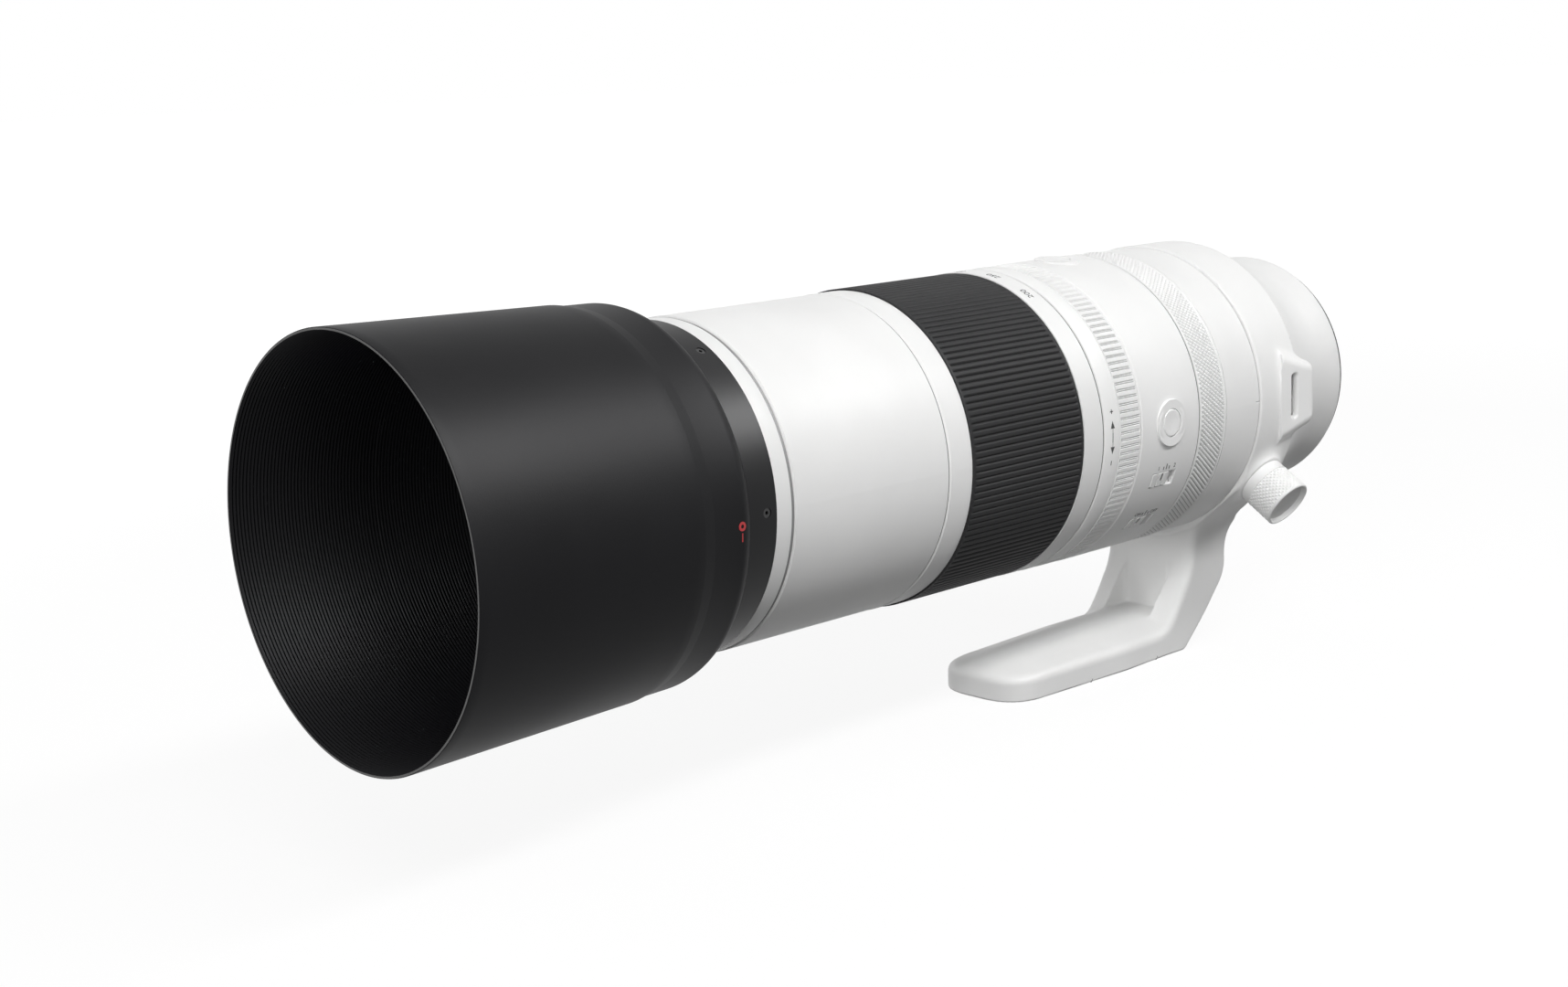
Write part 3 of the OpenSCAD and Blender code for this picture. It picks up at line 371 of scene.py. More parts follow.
def smooth_min(a: Array, b: Array, width: float) -> Array:
    """Join two fields with a fillet.

    Args:
        a: the first field.
        b: the second field.
        width: width of the blend.

    Returns:
        The joined field: the lower of the two, less width * h * (1 - h) in the blend.
    """
    h = np.clip(0.5 + 0.5 * (b - a) / width, 0, 1)
    return b + (a - b) * h - width * h * (1 - h)


def smooth_max(a: Array, b: Array, width: float) -> Array:
    """Cut one field by another with a rounded edge.

    Args:
        a: the first field.
        b: the second field.
        width: width of the blend.

    Returns:
        The common part of the two fields.
    """
    return -smooth_min(-a, -b, width)


def polygon_field(u: Array, v: Array, outline: Array | list[Point]) -> Array:
    """Distance to a closed polygon, negative inside it.

    Args:
        u: first coordinate of the points.
        v: second coordinate of the points.
        outline: the polygon's corners.

    Returns:
        The signed distance of each point.
    """
    corners = counter_clockwise(np.asarray(outline, float))
    nearest = np.full(u.shape, 1e9)
    winding = np.zeros(u.shape, int)
    for (ax, ay), (bx, by) in zip(corners, np.roll(corners, -1, 0)):
        ex, ey = bx - ax, by - ay
        wx, wy = u - ax, v - ay
        t = np.clip((wx * ex + wy * ey) / (ex * ex + ey * ey), 0, 1)
        nearest = np.minimum(nearest, (wx - ex * t) ** 2 + (wy - ey * t) ** 2)
        side = ex * wy - ey * wx
        winding += ((ay <= v) & (by > v) & (side > 0)).astype(int)
        winding -= ((ay > v) & (by <= v) & (side < 0)).astype(int)
    return np.where(winding != 0, -1.0, 1.0) * np.sqrt(nearest)


def surface_net(field_of: Field, low: Point3, high: Point3, step: float) -> Shape:
    """Find the surface where a field is zero.

    Each cell of a grid that the surface passes through gets one point, the mean of the places
    where the surface crosses the cell's edges, and four cells round a crossed edge share a face.
    Three Newton steps then move the points onto the surface, none further than 0.6 of a cell from
    where it began. The field is read at every corner only near the surface, and elsewhere once
    for each block of cells.

    Args:
        field_of: gives the field at rows of points.
        low: lowest corner of the grid.
        high: highest corner of the grid.
        step: size of a cell.

    Returns:
        The surface, with its faces outwards.
    """
    block = 4
    counts = [int(math.ceil((b - a) / step / block)) for a, b in zip(low, high)]
    coarse_axes = [a + (np.arange(n) + 0.5) * block * step for a, n in zip(low, counts)]
    coarse = np.stack(np.meshgrid(*coarse_axes, indexing="ij"), -1)
    rough = field_of(coarse.reshape(-1, 3)).reshape(counts)
    values = rough.repeat(block, 0).repeat(block, 1).repeat(block, 2)
    near = np.argwhere(np.abs(values) < 1.5 * block * step)
    values[tuple(near.T)] = field_of(np.array(low) + near * step)
    inside = values < 0
    cells = tuple(n - 1 for n in values.shape)

    def at(a: Array, corner: tuple[int, int, int]) -> Array:
        return a[tuple(slice(c, c + n) for c, n in zip(corner, cells))]

    corners = [(i, j, k) for i in (0, 1) for j in (0, 1) for k in (0, 1)]
    count = sum(at(inside, c).astype(np.int8) for c in corners)
    active = (count > 0) & (count < 8)
    total = np.zeros((int(active.sum()), 3))
    hits = np.zeros(len(total))
    for axis in range(3):
        for corner in corners:
            if corner[axis]:
                continue
            other = tuple(c + (1 if i == axis else 0) for i, c in enumerate(corner))
            va, vb = at(values, corner)[active], at(values, other)[active]
            cross = (va < 0) != (vb < 0)
            t = np.where(cross, va / np.where(va == vb, 1, va - vb), 0)
            place = np.tile(np.array(corner, float), (len(t), 1))
            place[:, axis] += t
            total += place * cross[:, None]
            hits += cross
    start = np.argwhere(active)
    points = np.array(low) + (start + total / hits[:, None]) * step
    number = np.full(cells, -1)
    number[active] = np.arange(len(points))
    faces = []
    for axis in range(3):
        u, v = (axis + 1) % 3, (axis + 2) % 3
        first = [slice(None)] * 3
        second = [slice(None)] * 3
        first[axis], second[axis] = slice(0, -1), slice(1, None)
        for keep in (first, second):
            keep[u], keep[v] = slice(1, -1), slice(1, -1)
        a, b = inside[tuple(first)], inside[tuple(second)]
        for way in (0, 1):
            where = np.argwhere((a & ~b) if way == 0 else (~a & b))
            where[:, u] += 1
            where[:, v] += 1
            ring = []
            for du, dv in ((-1, -1), (0, -1), (0, 0), (-1, 0)):
                cell = where.copy()
                cell[:, u] += du
                cell[:, v] += dv
                ring.append(number[tuple(cell.T)])
            faces.append(np.stack(ring if way == 0 else ring[::-1], 1))
    faces = np.concatenate(faces)
    began = points
    for _ in range(3):
        value, slope = field_of(points), gradient(field_of, points)
        length = np.maximum(np.sum(slope**2, 1), 0.05)
        move = (value / length)[:, None] * slope
        reach = np.linalg.norm(move, axis=1, keepdims=True)
        moved = points - move * np.minimum(1, 0.4 * step / np.maximum(reach, 1e-9)) - began
        reach = np.linalg.norm(moved, axis=1, keepdims=True)
        points = began + moved * np.minimum(1, 0.6 * step / np.maximum(reach, 1e-9))
    return Shape(points, faces[(faces >= 0).all(1)])


def gradient(field_of: Field, points: Array) -> Array:
    """Slope of a field at some points, from differences over twice the reach.

    Args:
        field_of: gives the field at rows of points.
        points: the points.

    Returns:
        One row of slopes for each point.
    """
    reach = 0.05
    out = [(field_of(points + shift) - field_of(points - shift)) / (2 * reach)
           for shift in np.eye(3) * reach]
    return np.stack(out, 1)


# Reliefs


def zigzag(turns: Array) -> Array:
    """A line that falls from 1 to 0 and climbs back in each turn: |t mod 1 - 1/2| * 2."""
    return np.abs(turns % 1 - 0.5) * 2


def pyramids(u: Array, v: Array, gain: float) -> Array:
    """Height of a diamond knurl: small pyramids between two sets of crossing grooves.

    The height is gain * (1 - max(z(u + v), z(u - v))) and at most 1, where z is the zigzag.

    Args:
        u: cells round the piece.
        v: cells along the piece.
        gain: 1 for pointed pyramids, more for flat tops.

    Returns:
        The height from 0 to 1.
    """
    return np.minimum(gain * (1 - np.maximum(zigzag(u + v), zigzag(u - v))), 1.0)


# Where the CAD nodes lie


@dataclass(frozen=True)
class Span:
    """Where a CAD node lies along the axis, in millimetres.

    Attributes:
        rear: distance of its rear end.
        front: distance of its front end.
        radius: its largest reach from the axis, sideways or upwards.
    """

    rear: float
    front: float
    radius: float

    @staticmethod
    def of(node: str) -> "Span":
        """Read the span of a CAD node from the frame.

        Args:
            node: the node's name.

        Returns:
            Its span.
        """
        low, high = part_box(node)
        reach = max(high[0], -low[0], high[2])
        return Span(-high[1] / MM, -low[1] / MM, reach / MM)


# Finishes


def add_node(
    tree: bpy.types.NodeTree, kind: str, inputs: dict[str | int, object], **settings: str
) -> bpy.types.Node:
    """Add a shader node.

    Args:
        tree: the nodes that it joins.
        kind: its type, without the word that all types begin with.
        inputs: what each input takes, a constant or another node's output.
        settings: its other settings.

    Returns:
        The new node.
    """
    node = tree.nodes.new("ShaderNode" + kind)
    for name, value in settings.items():
        setattr(node, name, value)
    for name, value in inputs.items():
        if isinstance(value, bpy.types.NodeSocket):
            tree.links.new(value, node.inputs[name])
        else:
            node.inputs[name].default_value = value
    return node


class Slot(Enum):
    """The record's material slots."""

    WHITE_PAINT = "white_paint"
    WHITE_PLASTIC = "white_plastic"
    BLACK_PAINT = "black_paint"
    HOOD_BLACK = "hood_black"
    BLACK_PLASTIC = "black_plastic"
    BLACK_ANODISED = "black_anodised"
    BARE_ALUMINIUM = "bare_aluminium"
    MOUNT_CHROME = "mount_chrome"
    STEEL = "steel"
    IRIS_STEEL = "iris_steel"
    BRASS = "brass"
    GOLD_CONTACTS = "gold_contacts"
    RUBBER = "rubber"
    BOARD = "board"
    COATED_GLASS = "coated_glass"


class Pattern(Enum):
    """The fine relief of a finish."""

    SPRAYED = "an even orange peel"
    GRAINED = "small bumps that stand apart, as on textured plastic"
    TURNED = "fine lines round the optical axis"
    CLEAR = "no relief"


@dataclass(frozen=True)
class Finish:
    """How one material looks.

    Attributes:
        name: the material's name.
        colour: its base colour, linear.
        roughness: its roughness at the middle of its range.
        pattern: its fine relief.
        grain: size of the relief's features in millimetres.
        depth: height of the relief in millimetres.
        metallic: 1 for bare metal.
        drift: how far the colour and the roughness wander over the surface.
        coat: strength of a clear layer.
        specular: specular level.
        clearness: share of light that passes through.
    """

    name: str
    colour: Colour
    roughness: float
    pattern: Pattern = Pattern.SPRAYED
    grain: float = 0.5
    depth: float = 0.01
    metallic: float = 0.0
    drift: float = 0.03
    coat: float = 0.0
    specular: float = 0.5
    clearness: float = 0.0

    def material(self) -> bpy.types.Material:
        """Build the node material, or give the one already built.

        The colour is the base colour times 1 - drift to 1 + drift, and the roughness wanders by
        twice that share, both after slow noise. The relief is fine noise through a Bump node.

        Returns:
            The material.
        """
        made = bpy.data.materials.get(self.name + "_finish")
        if made is not None:
            return made
        made = bpy.data.materials.new(self.name + "_finish")
        made.use_nodes = True
        tree = made.node_tree
        place = add_node(tree, "TexCoord", {}).outputs["Object"]
        slow = self._noise(tree, place, SLOW_SCALE, SLOW_DETAIL)
        shader = tree.nodes["Principled BSDF"]
        for name, value in (("Metallic", self.metallic), ("Coat Weight", self.coat),
                            ("Coat Roughness", COAT_ROUGHNESS), ("Specular IOR Level", self.specular),
                            ("Transmission Weight", self.clearness)):
            shader.inputs[name].default_value = value
        low, high = 1 - 2 * self.drift, 1 + 2 * self.drift
        rough = add_node(tree, "MapRange", {"Value": slow, "To Min": self.roughness * low,
                                            "To Max": min(1.0, self.roughness * high)})
        tree.links.new(self._colour(tree, slow), shader.inputs["Base Color"])
        tree.links.new(rough.outputs["Result"], shader.inputs["Roughness"])
        if self.pattern is not Pattern.CLEAR:
            relief = self._relief(tree, place, 1 / (self.grain * MM))
            bump = add_node(tree, "Bump", {"Distance": self.depth * MM, "Height": relief})
            tree.links.new(bump.outputs["Normal"], shader.inputs["Normal"])
        return made

    @staticmethod
    def _noise(
        tree: bpy.types.NodeTree, vector: bpy.types.NodeSocket, scale: float, detail: float
    ) -> bpy.types.NodeSocket:
        """Add a noise texture.

        Args:
            tree: the material's nodes.
            vector: where the texture is read.
            scale: features in a metre.
            detail: finer layers of noise.

        Returns:
            The texture's value.
        """
        inputs = {"Vector": vector, "Scale": scale, "Detail": detail}
        return add_node(tree, "TexNoise", inputs).outputs["Fac"]

    def _colour(
        self, tree: bpy.types.NodeTree, slow: bpy.types.NodeSocket
    ) -> bpy.types.NodeSocket:
        """Let the colour wander between a darker and a paler one.

        Args:
            tree: the material's nodes.
            slow: the slow noise.

        Returns:
            The colour.
        """
        ramp = add_node(tree, "ValToRGB", {"Fac": slow})
        for stop, place, share in zip(ramp.color_ramp.elements, (0.3, 0.7),
                                      (1 - self.drift, 1 + self.drift)):
            stop.position = place
            stop.color = (*[min(1.0, c * share) for c in self.colour], 1.0)
        return ramp.outputs["Color"]

    def _relief(
        self, tree: bpy.types.NodeTree, place: bpy.types.NodeSocket, scale: float
    ) -> bpy.types.NodeSocket:
        """Add the fine relief.

        Turned lines read noise at (radius, distance), so they run round the optical axis.

        Args:
            tree: the material's nodes.
            place: object coordinates.
            scale: features in a metre.

        Returns:
            The relief's height from 0 to 1.
        """
        if self.pattern is Pattern.GRAINED:
            inputs = {"Vector": place, "Scale": scale}
            return add_node(tree, "TexVoronoi", inputs, feature="SMOOTH_F1").outputs["Distance"]
        if self.pattern is Pattern.SPRAYED:
            return self._noise(tree, place, scale, 1.5)
        parts = add_node(tree, "SeparateXYZ", {"Vector": place}).outputs
        flat = add_node(tree, "CombineXYZ", {"X": parts["X"], "Y": parts["Z"]}).outputs["Vector"]
        radius = add_node(tree, "VectorMath", {0: flat}, operation="LENGTH").outputs["Value"]
        lines = add_node(tree, "CombineXYZ", {"X": radius, "Y": parts["Y"]}).outputs["Vector"]
        return self._noise(tree, lines, scale, 2.0)


PALETTE: dict[Slot, Finish] = {
    Slot.WHITE_PAINT: Finish("white_paint", (0.87, 0.87, 0.865), 0.42, grain=0.55, depth=0.016,
                             specular=0.06),
    Slot.WHITE_PLASTIC: Finish("white_plastic", (0.87, 0.87, 0.865), 0.36, grain=0.4, depth=0.006,
                               specular=0.06),
    Slot.BLACK_PAINT: Finish("black_paint", (0.008, 0.008, 0.009), 0.36, grain=0.3, depth=0.006,
                             drift=0.06, specular=0.15),
    Slot.HOOD_BLACK: Finish("hood_black", (0.007, 0.007, 0.008), 0.46, Pattern.GRAINED, 0.35, 0.014,
                            drift=0.08, specular=0.07),
    Slot.BLACK_PLASTIC: Finish("black_plastic", (0.012, 0.012, 0.012), 0.5, grain=0.3, drift=0.06),
    Slot.BLACK_ANODISED: Finish("black_anodised", (0.03, 0.03, 0.032), 0.38, Pattern.TURNED, 0.2,
                                0.003, metallic=0.6, drift=0.06),
    Slot.BARE_ALUMINIUM: Finish("bare_aluminium", (0.66, 0.67, 0.69), 0.32, Pattern.TURNED, 0.2,
                                0.004, metallic=1.0),
    Slot.MOUNT_CHROME: Finish("mount_chrome", (0.62, 0.62, 0.61), 0.2, Pattern.TURNED, 0.15, 0.002,
                              metallic=1.0),
    Slot.STEEL: Finish("steel", (0.52, 0.52, 0.53), 0.28, grain=0.2, depth=0.003, metallic=1.0),
    Slot.IRIS_STEEL: Finish("iris_steel", (0.05, 0.05, 0.055), 0.4, grain=0.2, depth=0.002,
                            metallic=0.7, drift=0.08),
    Slot.BRASS: Finish("brass", (0.72, 0.5, 0.2), 0.3, grain=0.2, depth=0.003, metallic=1.0),
    Slot.GOLD_CONTACTS: Finish("gold_contacts", (0.85, 0.62, 0.25), 0.2, grain=0.2, depth=0.002,
                               metallic=1.0),
    Slot.RUBBER: Finish("rubber", (0.032, 0.032, 0.033), 0.5, grain=0.22, depth=0.01, drift=0.08,
                        specular=0.04),
    Slot.BOARD: Finish("board", (0.02, 0.11, 0.05), 0.4, grain=0.6, depth=0.01, drift=0.1),
    Slot.COATED_GLASS: Finish("coated_glass", (0.82, 0.88, 0.86), 0.02, Pattern.CLEAR, drift=0.01,
                              clearness=0.92),
}
INK = Finish("black_ink", (0.012, 0.012, 0.012), 0.5, grain=0.2, depth=0.002, drift=0.05)
RED_INK = Finish("red_ink", (0.42, 0.008, 0.012), 0.42, grain=0.2, depth=0.002, drift=0.05)
WHITE_INK = Finish("white_ink", (0.93, 0.93, 0.93), 0.5, grain=0.2, depth=0.002)
# The next four finishes are painted light: painted shade in the gaps, a painted highlight on the hood's
# rim, painted shade in grooves, and painted shade in seams, nicks and the dash's edge.
GAP_PAINTED_SHADE = Finish("gap_painted_shade", (0.05, 0.05, 0.05), 0.6, grain=0.2, depth=0.002, specular=0.2)
EDGE_PAINTED_HIGHLIGHT = Finish("edge_painted_highlight", (0.10, 0.10, 0.10), 0.4, grain=0.2, depth=0.002, specular=0.2)
GROOVE_PAINTED_SHADE = Finish("groove_painted_shade", (0.42, 0.42, 0.42), 0.6, grain=0.2, depth=0.002, specular=0.1)
SEAM_PAINTED_SHADE = Finish("seam_painted_shade", (0.22, 0.22, 0.22), 0.6, grain=0.2, depth=0.002)
BLACKENED_STEEL = Finish("blackened_steel", (0.015, 0.015, 0.016), 0.4, grain=0.2, depth=0.003,
                         drift=0.06, specular=0.4)


# Marks


def lettering(text: str, height: float) -> tuple[Array, list[list[int]]]:
    """Make a word's outline as a thin flat mesh.

    Args:
        text: the letters.
        height: height of a capital in millimetres.

    Returns:
        Points about the word's middle, reading along local x with its top towards local y, and
        the faces' point numbers.
    """
    curve = bpy.data.curves.new("letters", "FONT")
    curve.body = text
    curve.size = height / 0.7
    curve.extrude = 0.03
    curve.resolution_u = 4
    curve.align_x, curve.align_y = "CENTER", "CENTER"
    holder = bpy.data.objects.new("letters", curve)
    bpy.context.scene.collection.objects.link(holder)
    bpy.context.view_layer.update()
    mesh = bpy.data.meshes.new_from_object(holder)
    points = np.empty(len(mesh.vertices) * 3, np.float32)
    mesh.vertices.foreach_get("co", points)
    faces = [list(p.vertices) for p in mesh.polygons]
    bpy.data.objects.remove(holder)
    bpy.data.curves.remove(curve)
    bpy.data.meshes.remove(mesh)
    return points.reshape(-1, 3).astype(float), faces


def bar(length: float, width: float, x: float = 0.0, y: float = 0.0) -> Shape:
    """Make a thin printed bar.

    Args:
        length: size along local x.
        width: size along local y.
        x: place of its middle.
        y: place of its middle.

    Returns:
        The flat bar, sunk a little below the surface.
    """
    outline = refined(rectangle(length, width), 0.8) + np.array([x, y])
    return slab(outline, MARK_LOW, MARK_HIGH)


def arrow_head(size: float, x: float, y: float, way: float) -> Shape:
    """Make the head of a printed arrow that points along local y.

    Args:
        size: length of the head.
        x: place of its tip.
        y: place of its tip.
        way: 1 where it points towards +y, -1 towards -y.

    Returns:
        The flat triangle.
    """
    outline = np.array([[x, y], [x - size * 0.42, y - way * size], [x + size * 0.42, y - way * size]])
    return slab(refined(outline, 0.6), MARK_LOW, MARK_HIGH)


# The sub-assemblies


@dataclass
class Assembly:
    """A group of pieces that belong together.

    Among the sizes of the groups below, a name that ends in _d is a distance from the flange, one
    in _y or _z a place in the frame, one in _half half a width, and a shade's level the share of
    its relief's depth at which its ring of painted shade lies.

    Attributes:
        made: the pieces made so far.
    """

    made: list[bpy.types.Object] = field(default_factory=list)

    def keep(self, obj: bpy.types.Object, finish: Finish, body: str) -> bpy.types.Object:
        """Dress a piece, let it ride on its body and report it.

        Args:
            obj: the piece.
            finish: its finish.
            body: the CAD body that it moves with.

        Returns:
            The same piece.
        """
        obj.data.materials.append(finish.material())
        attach(obj, body)
        self.made.append(obj)
        LOG.info("%s: %d faces of %s on %s", obj.name, len(obj.data.polygons), finish.name, body)
        return obj

    def add(
        self, name: str, shape: Shape, body: str, slot: Slot, *nodes: str, sharp: float = 40.0
    ) -> bpy.types.Object:
        """Make a piece in the finish of a material slot.

        Args:
            name: the piece's name.
            shape: its surface.
            body: the CAD body that it moves with.
            slot: its material slot.
            nodes: the CAD nodes that it stands for.
            sharp: edges that bend by more than this angle stay sharp.

        Returns:
            The new piece.
        """
        obj = self.keep(shell_object(name, shape, sharp), PALETTE[slot], body)
        if nodes:
            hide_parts(*nodes)
        return obj

    def print_on(
        self, name: str, parts: list[Shape], ink: Finish, body: str, place: Place | None = None
    ) -> None:
        """Print thin marks on a surface.

        Args:
            name: the piece's name.
            parts: the marks.
            ink: their finish.
            body: the CAD body that they move with.
            place: lays flat marks on the surface, or None where they already lie there.
        """
        shape = parts[0].joined(*parts[1:])
        self.keep(shell_object(name, shape if place is None else place(shape)), ink, body)

    def print_ring(self, name: str, radii: Point, span: Point, ink: Finish, body: str) -> None:
        """Lay a plain narrow ring round the optical axis.

        Args:
            name: the piece's name.
            radii: its inner and outer radius.
            span: its rear and front distance.
            ink: its finish.
            body: the CAD body that it moves with.
        """
        self.print_on(name, [turned(box_corners(*radii, *span))], ink, body)

    def write_on(
        self,
        name: str,
        text: str,
        height: float,
        body: str,
        radius: float,
        angle: float,
        distance: float,
        along_axis: bool,
    ) -> None:
        """Print a word or a number on the barrel.

        Args:
            name: the piece's name.
            text: the letters.
            height: height of a capital.
            body: the CAD body that it moves with.
            radius: radius of the surface.
            angle: angle of the word's middle.
            distance: distance of the word's middle.
            along_axis: True where it reads towards the rear, False where it reads round the barrel.
        """
        points, faces = lettering(text, height)
        x, y, z = points.T
        flat = np.column_stack([-x, y, z] if along_axis else [y, x, z])
        laid = wrapped(Shape(flat, np.empty((0, 4), int)), radius, angle, distance)
        mesh = bpy.data.meshes.new(name)
        mesh.from_pydata((laid.points * MM).tolist(), [], faces)
        mesh.validate()
        work = bmesh.new()
        work.from_mesh(mesh)
        bmesh.ops.remove_doubles(work, verts=work.verts, dist=1e-7)
        bmesh.ops.recalc_face_normals(work, faces=work.faces)
        work.to_mesh(mesh)
        work.free()
        obj = bpy.data.objects.new(name, mesh)
        bpy.context.scene.collection.objects.link(obj)
        self.keep(obj, INK, body)


@dataclass
class Hood(Assembly):
    """The lens hood: a turned shell with fine grooves inside and three lugs in its neck."""

    rim_radius: float = 59.26
    step_reach: float = 12.0
    step_radius: float = 57.15
    step_length: float = 4.0
    step_depth: float = 0.67
    taper: float = 0.25
    shoulder_radius: float = 5.4
    neck_length: float = 7.7
    neck_bore: float = 49.95
    rim_wall: float = 1.06
    wall: float = 2.4
    groove_pitch: float = 1.055
    groove_depth: float = 0.3
    lug_low: float = 48.7
    lug_root: float = 0.4
    lug_angle: float = 20.0
    lug_places: tuple[float, ...] = (90.0, 210.0, 330.0)
    lug_behind: float = 3.2
    lug_thickness: float = 2.4
    corner: float = 0.35
    mark_reach: float = 0.35
    dot_radii: Point = (1.3, 0.55)
    dot_angle: float = -0.25
    line_size: Point = (0.38, 2.4)
    line_angle: float = -3.35
    body: str = "hood"

    def outline(self, rear: float, front: float, lens_front: float) -> Array:
        """Draw the shell's half section.

        The outside runs from the rim back over a small step to a rounded shoulder and the neck. The
        inside comes forwards from the neck over a ledge, and is cut finely for its grooves.

        Args:
            rear: distance of the neck's rear edge.
            front: distance of the rim.
            lens_front: distance of the lens's front edge.

        Returns:
            The outline, as radius and distance.
        """
        step_d = lens_front + self.step_reach
        low_r = self.step_radius - self.step_depth
        shoulder_d = rear + self.neck_length
        t = np.radians(np.linspace(0, 40, 9))
        middle_r = low_r - self.taper - self.shoulder_radius
        shoulder = np.column_stack([
            middle_r + self.shoulder_radius * np.cos(t),
            shoulder_d - self.shoulder_radius * np.sin(t),
        ])
        outside_d = np.linspace(front - self.corner, step_d, 24)
        slope = (self.rim_radius - self.step_radius) / (front - step_d)
        outside = np.column_stack([self.step_radius + (outside_d - step_d) * slope, outside_d])
        neck = np.array([
            [self.neck_bore + 0.75, rear + self.corner], [self.neck_bore + 0.45, rear],
            [self.neck_bore + 0.05, rear], [self.neck_bore, rear + 0.1],
            [self.neck_bore, lens_front + 0.4], [self.neck_bore + 2, lens_front + 0.4],
            [low_r - self.wall - 0.6, lens_front + 4],
        ])
        start, end = step_d - self.step_length + 2, front - self.corner
        steps = int(round((end - start) / self.groove_pitch)) * 4
        inside_d = np.linspace(start, end, steps + 1)
        share = (inside_d - start) / (end - start)
        inside_r = low_r - self.wall + share * (self.rim_radius - self.rim_wall - low_r + self.wall)
        inside_r += self.groove_depth * zigzag(inside_d / self.groove_pitch)
        inside = np.column_stack([inside_r, inside_d])
        rim = np.array([
            [self.rim_radius - self.rim_wall + 0.3, front], [self.rim_radius - 0.3, front],
            [self.rim_radius - 0.08, front - 0.1],
        ])
        step = np.array([
            [self.step_radius - 0.03, step_d - 0.15],
            [low_r + 0.03, step_d - self.step_length + 0.15], [low_r, step_d - self.step_length],
        ])
        return np.concatenate([outside, step, shoulder, neck, inside, rim])

    def build(self) -> None:
        """Build the shell, its lugs, the painted highlight on its rim and its marks."""
        hood, lens = Span.of("lens_hood"), Span.of("front_ring")
        outline = self.outline(hood.rear, hood.front, lens.front)
        self.add("hood_shell", turned(outline), self.body, Slot.HOOD_BLACK, "lens_hood", sharp=28)
        lug_front = lens.front - self.lug_behind
        section = box_corners(self.lug_low, self.neck_bore + self.lug_root,
                              lug_front - self.lug_thickness, lug_front)
        lugs = [sector_shape(section, a - self.lug_angle / 2, a + self.lug_angle / 2)
                for a in self.lug_places]
        self.add("hood_lugs", lugs[0].joined(*lugs[1:]), self.body, Slot.HOOD_BLACK)
        # A grey ring on the rim's front face is a painted highlight of its lit edge.
        self.print_ring("hood_rim_highlight", (self.rim_radius - self.rim_wall + 0.28, self.rim_radius - 0.24),
                        (hood.front - 0.03, hood.front + 0.02), EDGE_PAINTED_HIGHLIGHT, self.body)
        # A small ring and a short line lie where the straight wall turns into the rear shoulder
        for name, part, angle in (("hood_dot", ring_mark(*self.dot_radii), self.dot_angle),
                                  ("hood_line", bar(*self.line_size), self.line_angle)):
            self.print_on(name, [part], RED_INK, self.body,
                          lambda s, a=angle: self.on_shell(s, a, hood.rear, lens.front))

    def on_shell(self, shape: Shape, angle: float, rear: float, lens_front: float) -> Shape:
        """Lay a small flat shape on the shell just in front of its rounded shoulder.

        The radius is the straight wall's in front of the shoulder. Behind its start the wall follows
        the shoulder's arc.

        Args:
            shape: the flat shape, with local x forwards.
            angle: angle of its origin, in degrees.
            rear: distance of the neck's rear edge.
            lens_front: distance of the lens's front edge.

        Returns:
            The shape on the shell.
        """
        x, y, z = shape.points.T
        start = rear + self.neck_length
        low_r = self.step_radius - self.step_depth
        end = lens_front + self.step_reach - self.step_length
        d = start + self.mark_reach + x
        wall = low_r - self.taper * (end - d) / (end - start)
        behind = np.minimum(d - start, 0.0)
        arc = low_r - self.taper - self.shoulder_radius + np.sqrt(self.shoulder_radius**2 - behind**2)
        r = np.where(d >= start, wall, arc) + z + 0.02
        a = math.radians(angle) + y / low_r
        return Shape(np.stack([r * np.cos(a), -d, r * np.sin(a)], 1), shape.faces)


def sector_shape(corners: list[Point], start: float, end: float, steps: int = 24) -> Shape:
    """Carry a section round the axis between two angles.

    Args:
        corners: the section's corners, as radius and distance.
        start: first angle in degrees.
        end: last angle in degrees.
        steps: pieces of the arc.

    Returns:
        The closed block.
    """
    section = refined(counter_clockwise(rounded(corners, 0.15, 2)), 1.0)
    middle = section.mean(0)
    a = np.radians(np.concatenate([[start], np.linspace(start, end, steps + 1), [end]]))
    share = np.ones(len(a))
    share[[0, -1]] = INNER_SHARE
    flat = middle + (section - middle) * share[:, None, None]
    r, d = flat[..., 0], flat[..., 1]
    points = np.stack([r * np.cos(a)[:, None], -d, r * np.sin(a)[:, None]], -1).reshape(-1, 3)
    return Shape(points, grid_faces(len(a), len(section), False, True))


def ring_mark(outer: float, inner: float) -> Shape:
    """Make a thin printed circle line.

    Args:
        outer: its outer radius.
        inner: its inner radius.

    Returns:
        The flat ring.
    """
    t = np.linspace(0, 2 * np.pi, 40, endpoint=False)
    circle = np.column_stack([np.cos(t), np.sin(t)])
    return plate(inner * circle, outer * circle, MARK_LOW, MARK_HIGH)


def holed_plate(
    radius: float, place: float, across: Point, along: Point, height: Point, steps: int = 64
) -> Shape:
    """Make a rectangular plate with a round hole.

    Each ray from the hole's middle meets the circle and the rectangle's edge, and the plate lies
    between the two.

    Args:
        radius: the hole's radius.
        place: y of the hole's middle, which lies at x = 0.
        across: lowest and highest x.
        along: lowest and highest y.
        height: lowest and highest z.
        steps: rays.

    Returns:
        The closed plate.
    """
    corners = [math.atan2(v - place, u) for u in across for v in along]
    t = np.sort(np.concatenate([np.linspace(-math.pi, math.pi, steps, endpoint=False), corners]))
    rays = np.column_stack([np.cos(t), np.sin(t)])
    low, high = (np.array([side, end - place]) for side, end in zip(across, along))
    reach = np.abs(np.where(rays > 0, high, low) / np.where(np.abs(rays) < 1e-9, 1e-9, rays))
    middle = np.array([0.0, place])
    return plate(middle + radius * rays, middle + reach.min(1)[:, None] * rays, *height)


